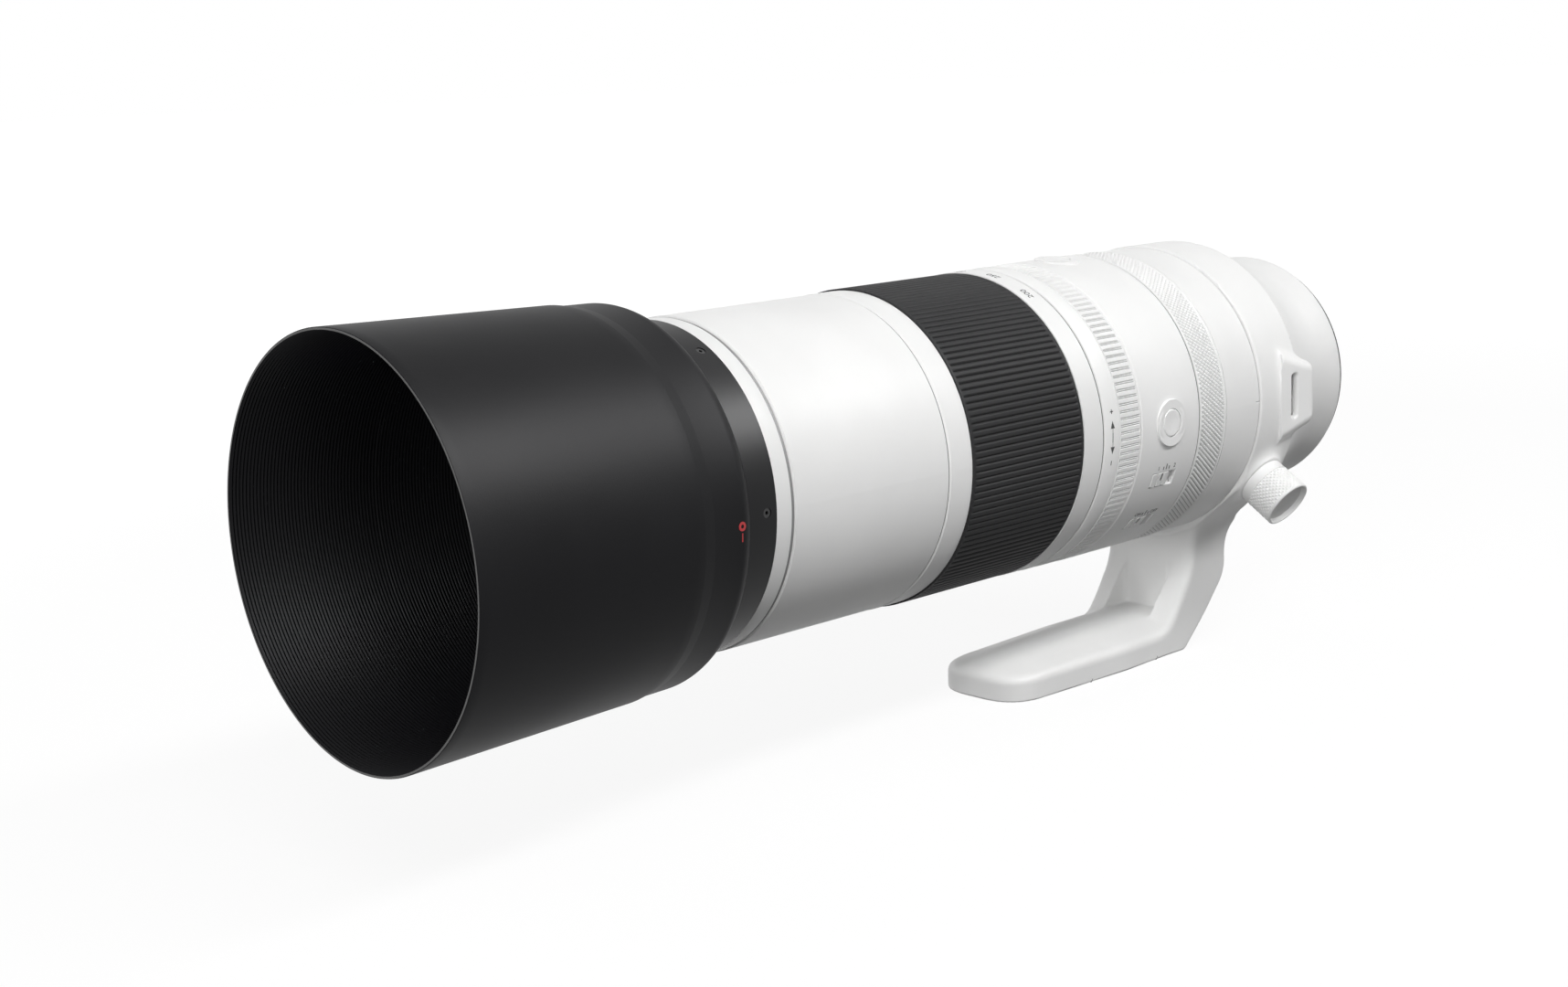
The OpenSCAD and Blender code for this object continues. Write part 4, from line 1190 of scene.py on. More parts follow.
@dataclass
class FrontGroup(Assembly):
    """The pale band at the front of the extending tube."""

    seam_width: float = 0.6
    seam_depth: float = 0.3
    body: str = "front"

    def build(self) -> None:
        """Build the band, with a grey ring of painted shade in the seam at its rear edge."""
        pale, inner = Span.of("front_band"), Span.of("front_tube").radius
        r, rear, front = pale.radius, pale.rear, pale.front
        edge, low = rear + self.seam_width, r - self.seam_depth
        outline = rounded(
            [(inner + 0.05, rear), (low - 0.05, rear), (low - 0.05, edge), (r, edge), (r, front),
             (inner + 0.05, front)], [0, 0, 0, 0.15, 0.2, 0], 3)
        self.add("front_band_ring", turned(outline), self.body, Slot.WHITE_PAINT, "front_band")
        # The thin grey ring at the seam's bottom is painted shade.
        self.print_ring("front_band_seam_shade", (low - 0.04, low), (rear + 0.02, edge), SEAM_PAINTED_SHADE, self.body)


@dataclass
class ZoomSection(Assembly):
    """The zoom ring's ribbed grip and the numbers of its scale."""

    ribs: int = 150
    rib_points: int = 8
    rib_depth: float = 0.55
    rib_share: float = 0.66
    edge_band: float = 1.0
    proud: float = 0.35
    root: float = 1.2
    numbers: tuple[tuple[str, float], ...] = (
        ("200", 62.0), ("250", 79.0), ("300", 96.0), ("400", 113.0), ("500", 130.0),
    )
    number_height: float = 2.4
    body: str = "zoom"

    def rib(self, angle: Array, distance: Array, radius: Array) -> Array:
        """Height of the grip's ribs: flat on top, with a narrow groove between two ribs.

        Args:
            angle: in degrees.
            distance: along the axis.
            radius: of the section before the ribs.

        Returns:
            Zero on a rib and minus the depth in a groove, faded out at both ends and inside.
        """
        grip = Span.of("zoom_grip")
        phase = zigzag(angle * self.ribs / 360)
        groove = np.clip((phase - self.rib_share) / (1 - self.rib_share) * 1.6, 0, 1)
        groove = groove * groove * (3 - 2 * groove)
        inset = np.minimum(distance - grip.rear, grip.front - distance)
        fade = np.clip((inset - self.edge_band) / 0.5, 0, 1)
        return np.where(radius > grip.radius - 0.6, -self.rib_depth * groove * fade, 0.0)

    def build(self) -> None:
        """Build the grip and the scale's numbers."""
        grip, ring = Span.of("zoom_grip"), Span.of("zoom_ring")
        top, low = grip.radius + self.proud, grip.radius - self.root
        ends = np.array([self.edge_band, self.edge_band + 0.25, self.edge_band + 0.5])
        d = np.concatenate([
            [grip.rear + 0.3], grip.rear + ends, np.linspace(grip.rear + 3, grip.front - 3, 9),
            grip.front - ends[::-1], [grip.front - 0.3]])
        outline = np.concatenate([
            [[low, grip.front], [low, grip.rear], [top - 0.3, grip.rear], [top - 0.09, grip.rear + 0.09]],
            np.column_stack([np.full(len(d), top), d]),
            [[top - 0.09, grip.front - 0.09], [top - 0.3, grip.front]],
        ])
        self.add("zoom_grip_ribs", turned(outline, self.ribs * self.rib_points, self.rib),
                 self.body, Slot.RUBBER, "zoom_grip", sharp=60)
        middle = (ring.rear + grip.rear) / 2
        for text, angle in self.numbers:
            self.write_on(f"zoom_number_{text}", text, self.number_height, self.body, ring.radius,
                          angle, middle, along_axis=False)


@dataclass
class TensionRing(Assembly):
    """The tension ring: fine ribs, and a smooth strip with a two-way arrow."""

    ribs: int = 140
    rib_points: int = 12
    rib_depth: float = 0.55
    shade_level: float = 0.6
    shade_wall: float = 0.4
    strip: float = 8.1
    strip_drop: float = 0.12
    bore: float = 48.95
    arrow_low: float = -6.8
    arrow_high: float = 5.3
    head_length: float = 2.4
    line_width: float = 0.32
    sign_length: float = 1.5
    sign_width: float = 0.34
    sign_gap: float = 3.0
    body: str = "tension"

    def rib(self, angle: Array, distance: Array, radius: Array) -> Array:
        """Height of the fine ribs: two V grooves beside each other between flat tops.

        Over one rib the groove is 1 - 4 |z - 3/4| and at least 0, where z is the zigzag.

        Args:
            angle: in degrees.
            distance: along the axis.
            radius: of the section before the ribs.

        Returns:
            Zero on a rib and minus the depth in a groove.
        """
        ring = Span.of("tension_ring")
        front = ring.front - self.strip
        phase = zigzag(angle * self.ribs / 360)
        groove = np.clip(1 - np.abs(phase - 0.75) * 4, 0, 1)
        fade = np.clip((np.minimum(front - distance, distance - ring.rear - 0.3)) / 0.2, 0, 1)
        return np.where(radius > ring.radius - 0.7, -self.rib_depth * groove * fade, 0.0)

    def build(self) -> None:
        """Build the ring, the painted shade in its grooves, its arrow and its plus and minus signs."""
        ring = Span.of("tension_ring")
        rear, front, r = ring.rear, ring.front, ring.radius
        edge = front - self.strip
        d = np.concatenate([[rear + 0.3, rear + 0.5], np.linspace(rear + 1.6, edge - 1.2, 4),
                            [edge - 0.2, edge, edge + 0.12]])
        edge_d = front - 0.12
        outline = np.concatenate([
            [[self.bore, edge_d], [self.bore, rear], [r - 0.3, rear], [r - 0.08, rear + 0.08]],
            np.column_stack([np.full(len(d), r), d]),
            [[r - 0.4, edge + 0.24], [r - 0.4, edge + 0.36], [r - 0.14, edge + 0.46],
             [r - self.strip_drop, edge_d - 0.25], [r - 0.35, edge_d]],
        ])
        self.add("tension_ring_ribs", turned(outline, self.ribs * self.rib_points, self.rib),
                 self.body, Slot.WHITE_PAINT, "tension_ring", sharp=60)
        # A grey ring under the ribs is painted shade that shows at the bottom of their grooves
        shade_r = r - self.shade_level * self.rib_depth
        self.print_ring("tension_ring_shade", (shade_r - self.shade_wall, shade_r),
                        (rear + 0.35, edge - 0.25), GROOVE_PAINTED_SHADE, self.body)
        flat = r - self.strip_drop
        low, high = (math.radians(a) * flat for a in (self.arrow_low, self.arrow_high))
        middle = front - self.strip / 2
        plus, minus, n, w = high + self.sign_gap, low - self.sign_gap, self.sign_length, self.sign_width
        parts = [
            bar(self.line_width, high - low - 2, 0, (high + low) / 2),
            arrow_head(self.head_length, 0, high, 1), arrow_head(self.head_length, 0, low, -1),
            bar(n, w, 0, plus), bar(w, n, 0, plus), bar(w, n, 0, minus),
        ]
        self.print_on("tension_arrow", parts, INK, self.body,
                      lambda s: wrapped(s, flat, 0.0, middle))


@dataclass
class ControlSection(Assembly):
    """The buttons, the slide switches, the knurled control ring and their marks."""

    barrel_radius: float = 51.35
    button_radius: float = 4.6
    surround_radius: float = 7.7
    surround_height: float = 0.55
    button_angles: tuple[float, float] = (0.0, 86.0)
    switch_angles: tuple[float, float] = (-22.0, -43.0)
    slider_length: float = 9.0
    slider_height: float = 5.0
    slider_top: float = 1.72
    slider_gap: float = 0.3
    window_floor: float = 49.6
    index_place: float = 5.1
    index_length: float = 2.7
    index_width: float = 0.65
    mark_pitch: float = 1.5
    mark_width: float = 0.42
    mark_lengths: tuple[float, ...] = (1.2, 2.0, 1.2)
    mark_gap: float = 0.7
    word_height: float = 1.5
    word_places: Point = (2.6, -5.9)
    word_gap: float = 1.5
    window_length: float = 12.6
    window_height: float = 5.6
    dash_behind: float = 1.2
    cells_round: int = 204
    cell_points: int = 6
    cell_length: float = 2.2
    knurl_depth: float = 0.45
    shade_level: float = 0.75
    shade_wall: float = 0.4
    bore: float = 48.5
    body: str = "barrel"

    def middle(self) -> float:
        """Distance of the buttons and switches, the middle of their barrel."""
        rear = Span.of("function_barrel").rear
        return rear + (Span.of("tension_ring").rear - rear) / 2

    def surround(self) -> Shape:
        """Draw a soft raised ring round a button, in local coordinates.

        The section is a low mound: it rises over 1 mm, is flat for 1 mm and dips to the button.

        Returns:
            The ring about local z.
        """
        r, h = self.surround_radius, self.surround_height
        return local_turned([
            (self.button_radius + 0.35, -0.6), (r - 0.2, -0.6), (r, -0.15), (r - 0.25, 0.1),
            (r - 0.7, h * 0.72), (r - 1.1, h), (self.button_radius + 1.0, h),
            (self.button_radius + 0.55, h - 0.12), (self.button_radius + 0.35, h - 0.4),
        ])

    def cap(self) -> Shape:
        """Draw a push button's cap: a shallow dish within a rounded edge.

        Returns:
            The cap about local z.
        """
        r = self.button_radius
        t = np.linspace(0, math.pi / 2, 6)
        edge = np.column_stack([r - 0.45 + 0.45 * np.cos(t), 0.05 + 0.45 * np.sin(t)])
        dish = np.linspace(r - 1.0, 0.06, 10)
        bowl = np.column_stack([dish, 0.32 + 0.18 * (dish / (r - 1.0)) ** 2])
        return local_turned(np.concatenate([[(0.06, -1.2), (r, -1.2)], edge, bowl]))

    def knurl(self, angle: Array, distance: Array, radius: Array) -> Array:
        """Height of the ring's diamond knurl, as small pyramids.

        Args:
            angle: in degrees.
            distance: along the axis.
            radius: of the section before the knurl.

        Returns:
            The height over the ring, from minus the depth to zero.
        """
        ring = Span.of("control_ring")
        low, high = self.knurled(ring)
        height = pyramids(angle * self.cells_round / 360, (distance - low) / self.cell_length, 1.35)
        inside = (distance > low + 0.01) & (distance < high - 0.01) & (radius > ring.radius - 0.3)
        return np.where(inside, self.knurl_depth * (height - 1), 0.0)

    def knurled(self, ring: Span) -> tuple[float, float]:
        """Limits of the knurled band on the control ring.

        Args:
            ring: the control ring's span.

        Returns:
            Its rear and front distance, a whole number of half cells apart.
        """
        middle = (ring.rear + ring.front) / 2
        half = math.floor((ring.front - ring.rear - 1.4) / self.cell_length) * self.cell_length / 2
        return middle - half, middle + half

    def build_control_ring(self) -> None:
        """Build the knurled ring and the painted shade under its knurl."""
        ring = Span.of("control_ring")
        low, high = self.knurled(ring)
        d = np.arange(low, high + 0.01, self.cell_length / self.cell_points)
        r, front = ring.radius, ring.front - 0.12
        outline = np.concatenate([
            [[self.bore, front], [self.bore, ring.rear], [r - 0.35, ring.rear],
             [r - 0.1, ring.rear + 0.1], [r, ring.rear + 0.35], [r, low - 0.12]],
            np.column_stack([np.full(len(d), r), d]),
            [[r, high + 0.12], [r, front - 0.3], [r - 0.1, front - 0.08], [r - 0.35, front]],
        ])
        knurled = turned(outline, self.cells_round * self.cell_points, self.knurl)
        self.add("control_ring_knurl", knurled, "control", Slot.WHITE_PLASTIC, "control_ring", sharp=75)
        # A grey ring under the knurl is painted shade that shows at the bottom of its grooves
        shade_r = r - self.shade_level * self.knurl_depth
        self.print_ring("control_ring_shade", (shade_r - self.shade_wall, shade_r),
                        (low + 0.1, high - 0.1), GROOVE_PAINTED_SHADE, "control")

    def build_button(self, name: str, angle: float) -> None:
        """Build one push button and its surround.

        Args:
            name: the CAD node that it stands for.
            angle: its angle on the barrel.
        """
        cap = self.cap().moved(0, 0, self.barrel_radius)
        self.add(f"{name}_cap", cap.placed(angle, self.middle()), name, Slot.WHITE_PLASTIC, name)
        ring = self.bent(self.surround().moved(0, 0, self.barrel_radius), self.barrel_radius)
        self.add(f"{name}_surround", ring.placed(angle, self.middle()), self.body, Slot.WHITE_PAINT)

    @staticmethod
    def bent(shape: Shape, radius: float) -> Shape:
        """Lower a local shape so that it follows the barrel.

        The height drops by radius - sqrt(radius^2 - y^2).

        Args:
            shape: a shape drawn over a flat surface.
            radius: the barrel's radius.

        Returns:
            The bent shape.
        """
        x, y, z = shape.points.T
        drop = radius - np.sqrt(np.maximum(radius**2 - y**2, 0))
        return Shape(np.column_stack([x, y, z - drop]), shape.faces)

    def slider(self) -> Shape:
        """Draw a switch's slider: three raised steps on a thin plate.

        Returns:
            The slider with its front end at local x = 0 and its underside at local z = 0.
        """
        n, w = self.slider_length, self.slider_height / 2
        base = slab(refined(rounded(box_corners(0, n, -w, w), 0.3, 3), 1.0), 0.0, 1.0)
        parts = []
        for i in range(3):
            a, b = n * i / 3 + 0.12, n * (i + 1) / 3 - 0.12
            for low, high, inset in ((0.95, 1.45, 0.0), (1.4, self.slider_top, 0.3)):
                step = rounded(box_corners(a + inset, b - inset, -w + 0.1, w - 0.1), 0.25, 3)
                parts.append(slab(refined(step, 1.0), low, high))
        return base.joined(*parts)

    def build_switch(self, name: str, angle: float, words: tuple[str, str]) -> None:
        """Build one slide switch, its index bar, its marks and its words.

        Args:
            name: the CAD node that it stands for.
            angle: its angle on the barrel.
            words: what stands at the front and at the rear end of its travel.
        """
        start = -self.window_length / 2 + self.slider_gap
        floor = self.window_floor + self.slider_gap / 2
        slider = self.slider().moved(start, 0, floor)
        self.add(f"{name}_slider", slider.placed(angle, self.middle()), name, Slot.WHITE_PLASTIC, name,
                 sharp=30)
        index = slab(refined(rectangle(self.index_width, self.index_length), 1.0), 0.0, 0.04)
        index = index.moved(start + self.index_place,
                            (self.slider_height - self.index_length) / 2 - 0.15,
                            floor + self.slider_top)
        self.print_on(f"{name}_index", [index.placed(angle, self.middle())], INK, name)
        window, first = self.window_height / 2, -start - self.index_place
        marks = [bar(self.mark_width, n, first - self.mark_pitch * i, window + self.mark_gap + n / 2)
                 for i, n in enumerate(self.mark_lengths)]
        self.print_on(f"{name}_marks", marks, INK, self.body,
                      lambda s: wrapped(s, self.barrel_radius, angle, self.middle()))
        above = angle + math.degrees((window + self.word_gap) / self.barrel_radius)
        for text, x in zip(words, self.word_places):
            self.write_on(f"{name}_{text.lower()}", text, self.word_height, self.body,
                          self.barrel_radius, above, self.middle() + first + x, along_axis=True)

    def build(self) -> None:
        """Build everything on the control section."""
        self.build_control_ring()
        for name, angle in zip(("side_button", "top_button"), self.button_angles):
            self.build_button(name, angle)
        self.build_switch("focus_switch", self.switch_angles[0], ("1", "2"))
        self.build_switch("stabiliser_switch", self.switch_angles[1], ("ON", "OFF"))
        index = Span.of("index_barrel")
        # The white dash is print; the thin grey bar along its upper edge is painted shade.
        for name, part, ink in (("index_dash", bar(2.0, 0.5), WHITE_INK),
                                ("index_dash_edge_shade", bar(2.2, 0.2, 0.0, 0.36), SEAM_PAINTED_SHADE)):
            self.print_on(name, [part], ink, self.body,
                          lambda s: wrapped(s, index.radius, 0.0, index.rear + self.dash_behind))


@dataclass
class Collar(Assembly):
    """The cast tripod collar: ring, lugs, knob boss, neck and foot as one smooth casting."""

    ring_radius: float = 50.93
    bore: float = 45.95
    rear: float = 44.1
    front: float = 65.9
    foot_z: float = -94.0
    tip_y: float = -159.0
    tip_round: float = 14.0
    front_half: float = 18.2
    wide_y: float = -100.0
    wide_half: float = 20.0
    rib_y: float = -76.0
    rib_half: float = 19.0
    cut_z: float = -58.0
    wall_z: float = -85.2
    bevel_width: float = 9.5
    web_half: float = 10.0
    web_y: float = -62.4
    web_z: float = -81.1
    neck_fillet: float = 15.0
    lug_fillet: float = 2.2
    boss_fillet: float = 5.0
    pad_half: float = 17.6
    pad_recess: float = 1.0
    pad_gap: float = 0.2
    pad_thickness: float = 0.95
    bush_inset: float = 6.0
    bush_depth: float = 9.55
    bush_radius: float = 6.02
    root: float = 44.0
    seat_radius: float = 50.6
    lug_reach: float = 54.5
    lug_half: float = 16.2
    lug_bends: Point = (-40.0, -55.0)
    lug_cut: float = -2.312
    slot_d: float = 48.0
    slot_half_width: float = 1.4
    slot_half_length: float = 8.0
    slot_floor: float = 48.35
    knob_angle: float = -33.7
    knob_d: float = 55.6
    knob_radius: float = 9.0
    knob_root: float = 53.2
    knob_length: float = 14.0
    knob_dish: float = 1.7
    cells_round: int = 32
    cells_along: int = 6
    cell_points: int = 8
    cell_length: float = 1.55
    knurl_start: float = 3.7
    knurl_depth: float = 0.5
    screw_radius: float = 2.55
    screw_end: float = 40.0
    step: float = 0.8
    quick_step: float = 1.4
    net_low: Point3 = (-60.0, -161.5, -96.0)
    net_high: Point3 = (60.0, -37.0, 53.0)
    body: str = "collar"

    def plan(self, x: Array, y: Array) -> Array:
        """Field of the foot's outline seen from above: long sides and a well rounded tip.

        Args:
            x: sideways.
            y: along the lens.

        Returns:
            The signed distance.
        """
        half = np.interp(y, [self.tip_y, self.wide_y, self.rib_y],
                         [self.front_half, self.wide_half, self.rib_half])
        return smooth_max(np.abs(x) - half, self.tip_y - y, self.tip_round)

    def neck_and_foot(self, x: Array, y: Array, z: Array) -> Array:
        """Field of the neck and the foot.

        The neck's front and the foot's top follow two lines: one along the outer walls, and one
        along the middle. A bevel goes over from the one to the other, by a share that runs from 0
        at the wall to 1 at the bevel's inner edge. The web between the two ribs is cut back behind
        them. The lines are of y and z, and close far outside the casting.

        Args:
            x: sideways.
            y: along the lens.
            z: upwards.

        Returns:
            The signed distance.
        """
        far, near, deep, top = -190.0, 0.0, -140.0, -30.0
        wall_line = rounded(
            [(-59.6, top), (-59.6, -52.0), (-61.6, -62.0), (-63.1, -67.0), (-70.6, -78.8),
             (-76.5, self.wall_z), (far, self.wall_z), (far, deep), (near, deep), (near, top)],
            [0, 4, 6, 6, 8, 4, 0, 0, 0, 0])
        middle_line = rounded(
            [(-59.6, top), (-60.2, -52.0), (-62.4, -63.8), (-64.0, -68.0), (-75.0, -80.9),
             (-90.0, -81.2), (far, -84.5), (far, deep), (near, deep), (near, top)],
            [0, 3, 4, 5, 1.5, 0, 0, 0, 0, 0])
        rear_line = rounded(
            [(-45.0, top), (-44.6, -48.0), (-40.6, -57.5), (-40.0, -66.5), (-42.0, -71.6),
             (-52.3, -83.0), (-64.0, -93.9), (-110.0, deep), (far, deep), (far, top)],
            [0, 4, 6, 4, 4, 3, 0, 0, 0, 0])
        side = self.plan(x, y)
        share = 1 - smooth_max(1 + side / self.bevel_width, np.zeros_like(side), 0.2)
        share = np.clip(share, 0, 1)
        front = polygon_field(y, z, wall_line) * (1 - share) + polygon_field(y, z, middle_line) * share
        shape = smooth_max(side, front, 3.0)
        shape = smooth_max(shape, polygon_field(y, z, rear_line), 2.0)
        shape = smooth_max(shape, self.foot_z - z, 0.8)
        web = smooth_max(np.abs(x) - self.web_half, y - self.web_y, 2.5)
        web = smooth_max(web, self.web_z - z, 1.0)
        return smooth_max(shape, -web, 0.5)

    def lug(self, x: Array, y: Array, z: Array) -> Array:
        """Field of the two strap lugs: a plate with a trapezoid outline and a chamfer.

        Its face falls towards the front, by 0.18 from the first bend and by 0.5 more from the
        second, and a slanting cut takes away where the reach and y together are below lug_cut.

        Args:
            x: sideways, mirrored to both sides.
            y: along the lens.
            z: upwards.

        Returns:
            The signed distance.
        """
        side = np.abs(x)
        h = self.lug_half
        outline = rounded(
            [(-60.0, -h), (-54.0, -h), (-36.2, -10.4), (-36.2, 10.4), (-54.0, h), (-60.0, h)],
            [0, 3.0, 3.5, 3.5, 3.0, 0])
        edge = polygon_field(y, z, outline)
        first, second = (np.maximum(bend - y, 0.0) for bend in self.lug_bends)
        face = side - (self.lug_reach - 0.18 * first - 0.5 * second)
        chamfer = (edge + 1.15 * face + 2.6) / 1.52
        lug = smooth_max(smooth_max(edge, face, 1.0), chamfer, 0.9)
        lug = smooth_max(lug, self.root - side, 0.5)
        return np.maximum(lug, (self.lug_cut - side - y) / math.sqrt(2))

    def slot(self, x: Array, y: Array, z: Array) -> Array:
        """Field of the strap's way: a slot in the lug's face, and a tunnel out behind it.

        Args:
            x: sideways.
            y: along the lens.
            z: upwards.

        Returns:
            The signed distance.
        """
        side = np.abs(x)
        along = np.maximum(np.abs(z) - self.slot_half_length + self.slot_half_width, 0.0)
        mouth = np.hypot(y + self.slot_d, along) - self.slot_half_width
        mouth = np.maximum(mouth, self.slot_floor - side)
        tunnel = np.maximum.reduce([
            self.slot_floor - side, side - self.lug_reach + 3.6,
            np.abs(z) - self.slot_half_length + 1.0,
            -(y + self.slot_d + self.slot_half_width), y + 25.0])
        return np.minimum(mouth, tunnel)

    def casting(self, points: Array) -> Array:
        """Field of the whole casting.

        The ring, the neck with its foot, the lugs and the knob's boss are joined with fillets, and
        then the bores, the clearances, the slots and the pad's recess are cut.

        Args:
            points: rows of x, y, z.

        Returns:
            The signed distance of each point.
        """
        x, y, z = points.T
        r, d = np.hypot(x, z), -y
        half = (self.front - self.rear) / 2
        ring = smooth_max(r - self.ring_radius, np.abs(d - self.rear - half) - half, 0.5)
        neck = smooth_min(ring, self.neck_and_foot(x, y, z), self.neck_fillet)
        shape = smooth_min(ring, self.lug(x, y, z), self.lug_fillet)
        a = math.radians(self.knob_angle)
        out = x * math.cos(a) + z * math.sin(a)
        across = np.hypot(-x * math.sin(a) + z * math.cos(a), d - self.knob_d)
        boss = smooth_max(across - self.knob_radius - 0.1, out - self.knob_root + 0.3, 0.6)
        boss = np.maximum(boss, self.root - out)
        shape = smooth_min(smooth_min(shape, boss, self.boss_fillet), neck, 3.0)
        shape = smooth_max(shape, -np.maximum(self.front - d, self.cut_z - z), 0.5)
        shape = smooth_max(shape, self.bore - r, 0.4)
        shape = smooth_max(shape, -np.maximum(r - self.seat_radius, d - self.rear), 0.3)
        shape = smooth_max(shape, -self.slot(x, y, z), 0.5)
        shape = np.maximum(shape, -np.maximum(across - self.screw_radius, self.screw_end - out))
        start, end = self.pad_ends()
        pad = np.maximum.reduce([start - y, y - end, z - self.foot_z - self.pad_recess])
        shape = np.maximum(shape, -np.maximum(pad, np.abs(x) - self.pad_half))
        for place in self.bush_places():
            across = np.hypot(x, y - place) - self.bush_radius
            shape = np.maximum(shape, -np.maximum(across, z - self.foot_z - self.bush_depth))
        return shape

    @staticmethod
    def pad_ends() -> tuple[float, float]:
        """Lowest and highest y of the pad under the foot."""
        low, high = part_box("foot_pad")
        return low[1] / MM, high[1] / MM

    def bush_places(self) -> tuple[float, float]:
        """Places along y of the two tripod bushes, the front one first."""
        low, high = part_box("tripod_bushes")
        return low[1] / MM + self.bush_inset, high[1] / MM - self.bush_inset

    def build(self) -> None:
        """Build the casting, the pad under the foot and the lock knob."""
        step = self.step
        shape = surface_net(self.casting, self.net_low, self.net_high, step)
        obj = self.add("collar_casting", shape, self.body, Slot.WHITE_PAINT, "tripod_collar", sharp=180)
        slope = gradient(self.casting, shape.points)
        normals = slope / np.maximum(np.linalg.norm(slope, axis=1, keepdims=True), 1e-9)
        obj.data.normals_split_custom_set_from_vertices(normals)
        self.build_pad()
        self.build_knob()

    def build_pad(self) -> None:
        """Build the rubber sheet under the foot, and grey marks of painted shade for the small nicks in
        the wall at its ends.
        """
        start, end = self.pad_ends()
        middle, half = (start + end) / 2, self.pad_half - self.pad_gap
        spans = ((start + self.pad_gap, middle), (middle, end - self.pad_gap))
        halves = [holed_plate(self.bush_radius + 0.1, place, (-half, half), span,
                              (self.foot_z, self.foot_z + self.pad_thickness))
                  for place, span in zip(self.bush_places(), spans)]
        self.add("foot_pad_sheet", halves[0].joined(halves[1]), self.body, Slot.RUBBER, "foot_pad")
        # Each nick is a thin grey slab on the wall, painted shade where no notch is cut.
        nick_shades = []
        for y in (start, end):
            edge = float(-self.plan(np.zeros(1), np.array([y]))[0])
            low, high = self.foot_z + 0.05, self.foot_z + 1.25
            line = np.array([(y - 0.55, low), (y - 0.2, low), (y + 0.55, high), (y + 0.3, high)])
            nick_shade = slab(line, edge - 0.4, edge + MARK_HIGH)
            nick_shade = Shape(nick_shade.points[:, [2, 0, 1]], nick_shade.faces)
            nick_shades += [nick_shade, nick_shade.mirrored()]
        self.print_on("foot_nick_shade", nick_shades, SEAM_PAINTED_SHADE, self.body)

    def knurl(self, angle: Array, height: Array, radius: Array) -> Array:
        """Height of the knob's diamond knurl, as small pyramids.

        Args:
            angle: in degrees.
            height: along the knob.
            radius: of the section before the knurl.

        Returns:
            The height over the knob.
        """
        start = self.knurl_start
        rise = pyramids(angle * self.cells_round / 360, (height - start) / self.cell_length, 1.3)
        along = (height > start + 0.02) & (height < start + self.cell_length * self.cells_along)
        inside = along & (radius > self.knob_radius - 0.3)
        return np.where(inside, self.knurl_depth * (rise - 1), 0.0)

    def build_knob(self) -> None:
        """Build the lock knob: a smooth root, a knurled grip, a thin rim and a dished end."""
        r, n = self.knob_radius, self.knob_length
        start, end = self.knurl_start, self.knurl_start + self.cell_length * self.cells_along
        h = np.arange(start, end + 0.01, self.cell_length / self.cell_points)
        dish = np.linspace(r - 1.2, 0.06, 8)
        outline = np.concatenate([
            [(0.06, 0.0), (r - 0.8, 0.0), (r - 0.3, 0.2), (r - 0.15, 0.5), (r - 0.15, start - 0.3),
             (r - 0.05, start - 0.1)],
            np.column_stack([np.full(len(h), r), h]),
            [(r, n - 0.5), (r - 0.15, n - 0.15), (r - 0.45, n), (r - 0.75, n), (r - 0.95, n - 0.15)],
            np.column_stack([dish, n - self.knob_dish - 0.3 * (1 - (dish / (r - 1.2)) ** 2)]),
        ])
        shape = local_turned(outline, self.cells_round * self.cell_points, self.knurl)
        shape = shape.moved(0, 0, self.knob_root)
        self.add("lock_knob_grip", shape.placed(self.knob_angle, self.knob_d), "knob",
                 Slot.WHITE_PLASTIC, "lock_knob", sharp=60)


@dataclass
class RearBarrel(Assembly):
    """The rear barrel: a soft cone that runs through a waist to a rounded rear rim."""

    rim_radius: float = 42.4
    waist_radius: float = 41.3
    waist_d: float = 21.0
    shoulder_radius: float = 49.9
    shoulder_d: float = 43.8
    seat_radius: float = 45.0
    lip_radius: float = 41.3
    lip_bore: float = 40.0
    throat: float = 28.5
    bore: float = 38.6
    front_bore: float = 42.0
    body: str = "barrel"

    def build(self) -> None:
        """Build the barrel's soft profile, and the rubber lip that shows as a thin dark line."""
        rim, front = self.rim_radius, Span.of("rear_barrel").front
        outside = rounded(
            [(35.0, 1.4), (rim - 1.8, 1.4), (rim - 0.1, 2.4), (rim, 6.0),
             (self.waist_radius, self.waist_d), (self.shoulder_radius, self.shoulder_d),
             (self.seat_radius, self.shoulder_d)],
            [0, 0.2, 0.4, 2.0, 9.0, 0.5, 0], 8)
        inside = np.array([
            (self.seat_radius, front), (self.front_bore, front), (self.front_bore, 40.0),
            (self.bore, 36.0), (self.bore, 7.0), (self.throat, 7.0), (self.throat, 3.05),
            (34.95, 3.05)])
        self.add("rear_barrel_shell", turned(np.concatenate([outside, inside])), self.body,
                 Slot.WHITE_PAINT, "rear_barrel", sharp=35)
        bore, reach = self.lip_bore, self.lip_radius
        lip = [(bore, 0.3), (reach - 0.1, 0.3), (reach, 0.4), (reach, 1.45), (bore, 1.45)]
        self.add("mount_skirt_lip", turned(lip), self.body, Slot.RUBBER)


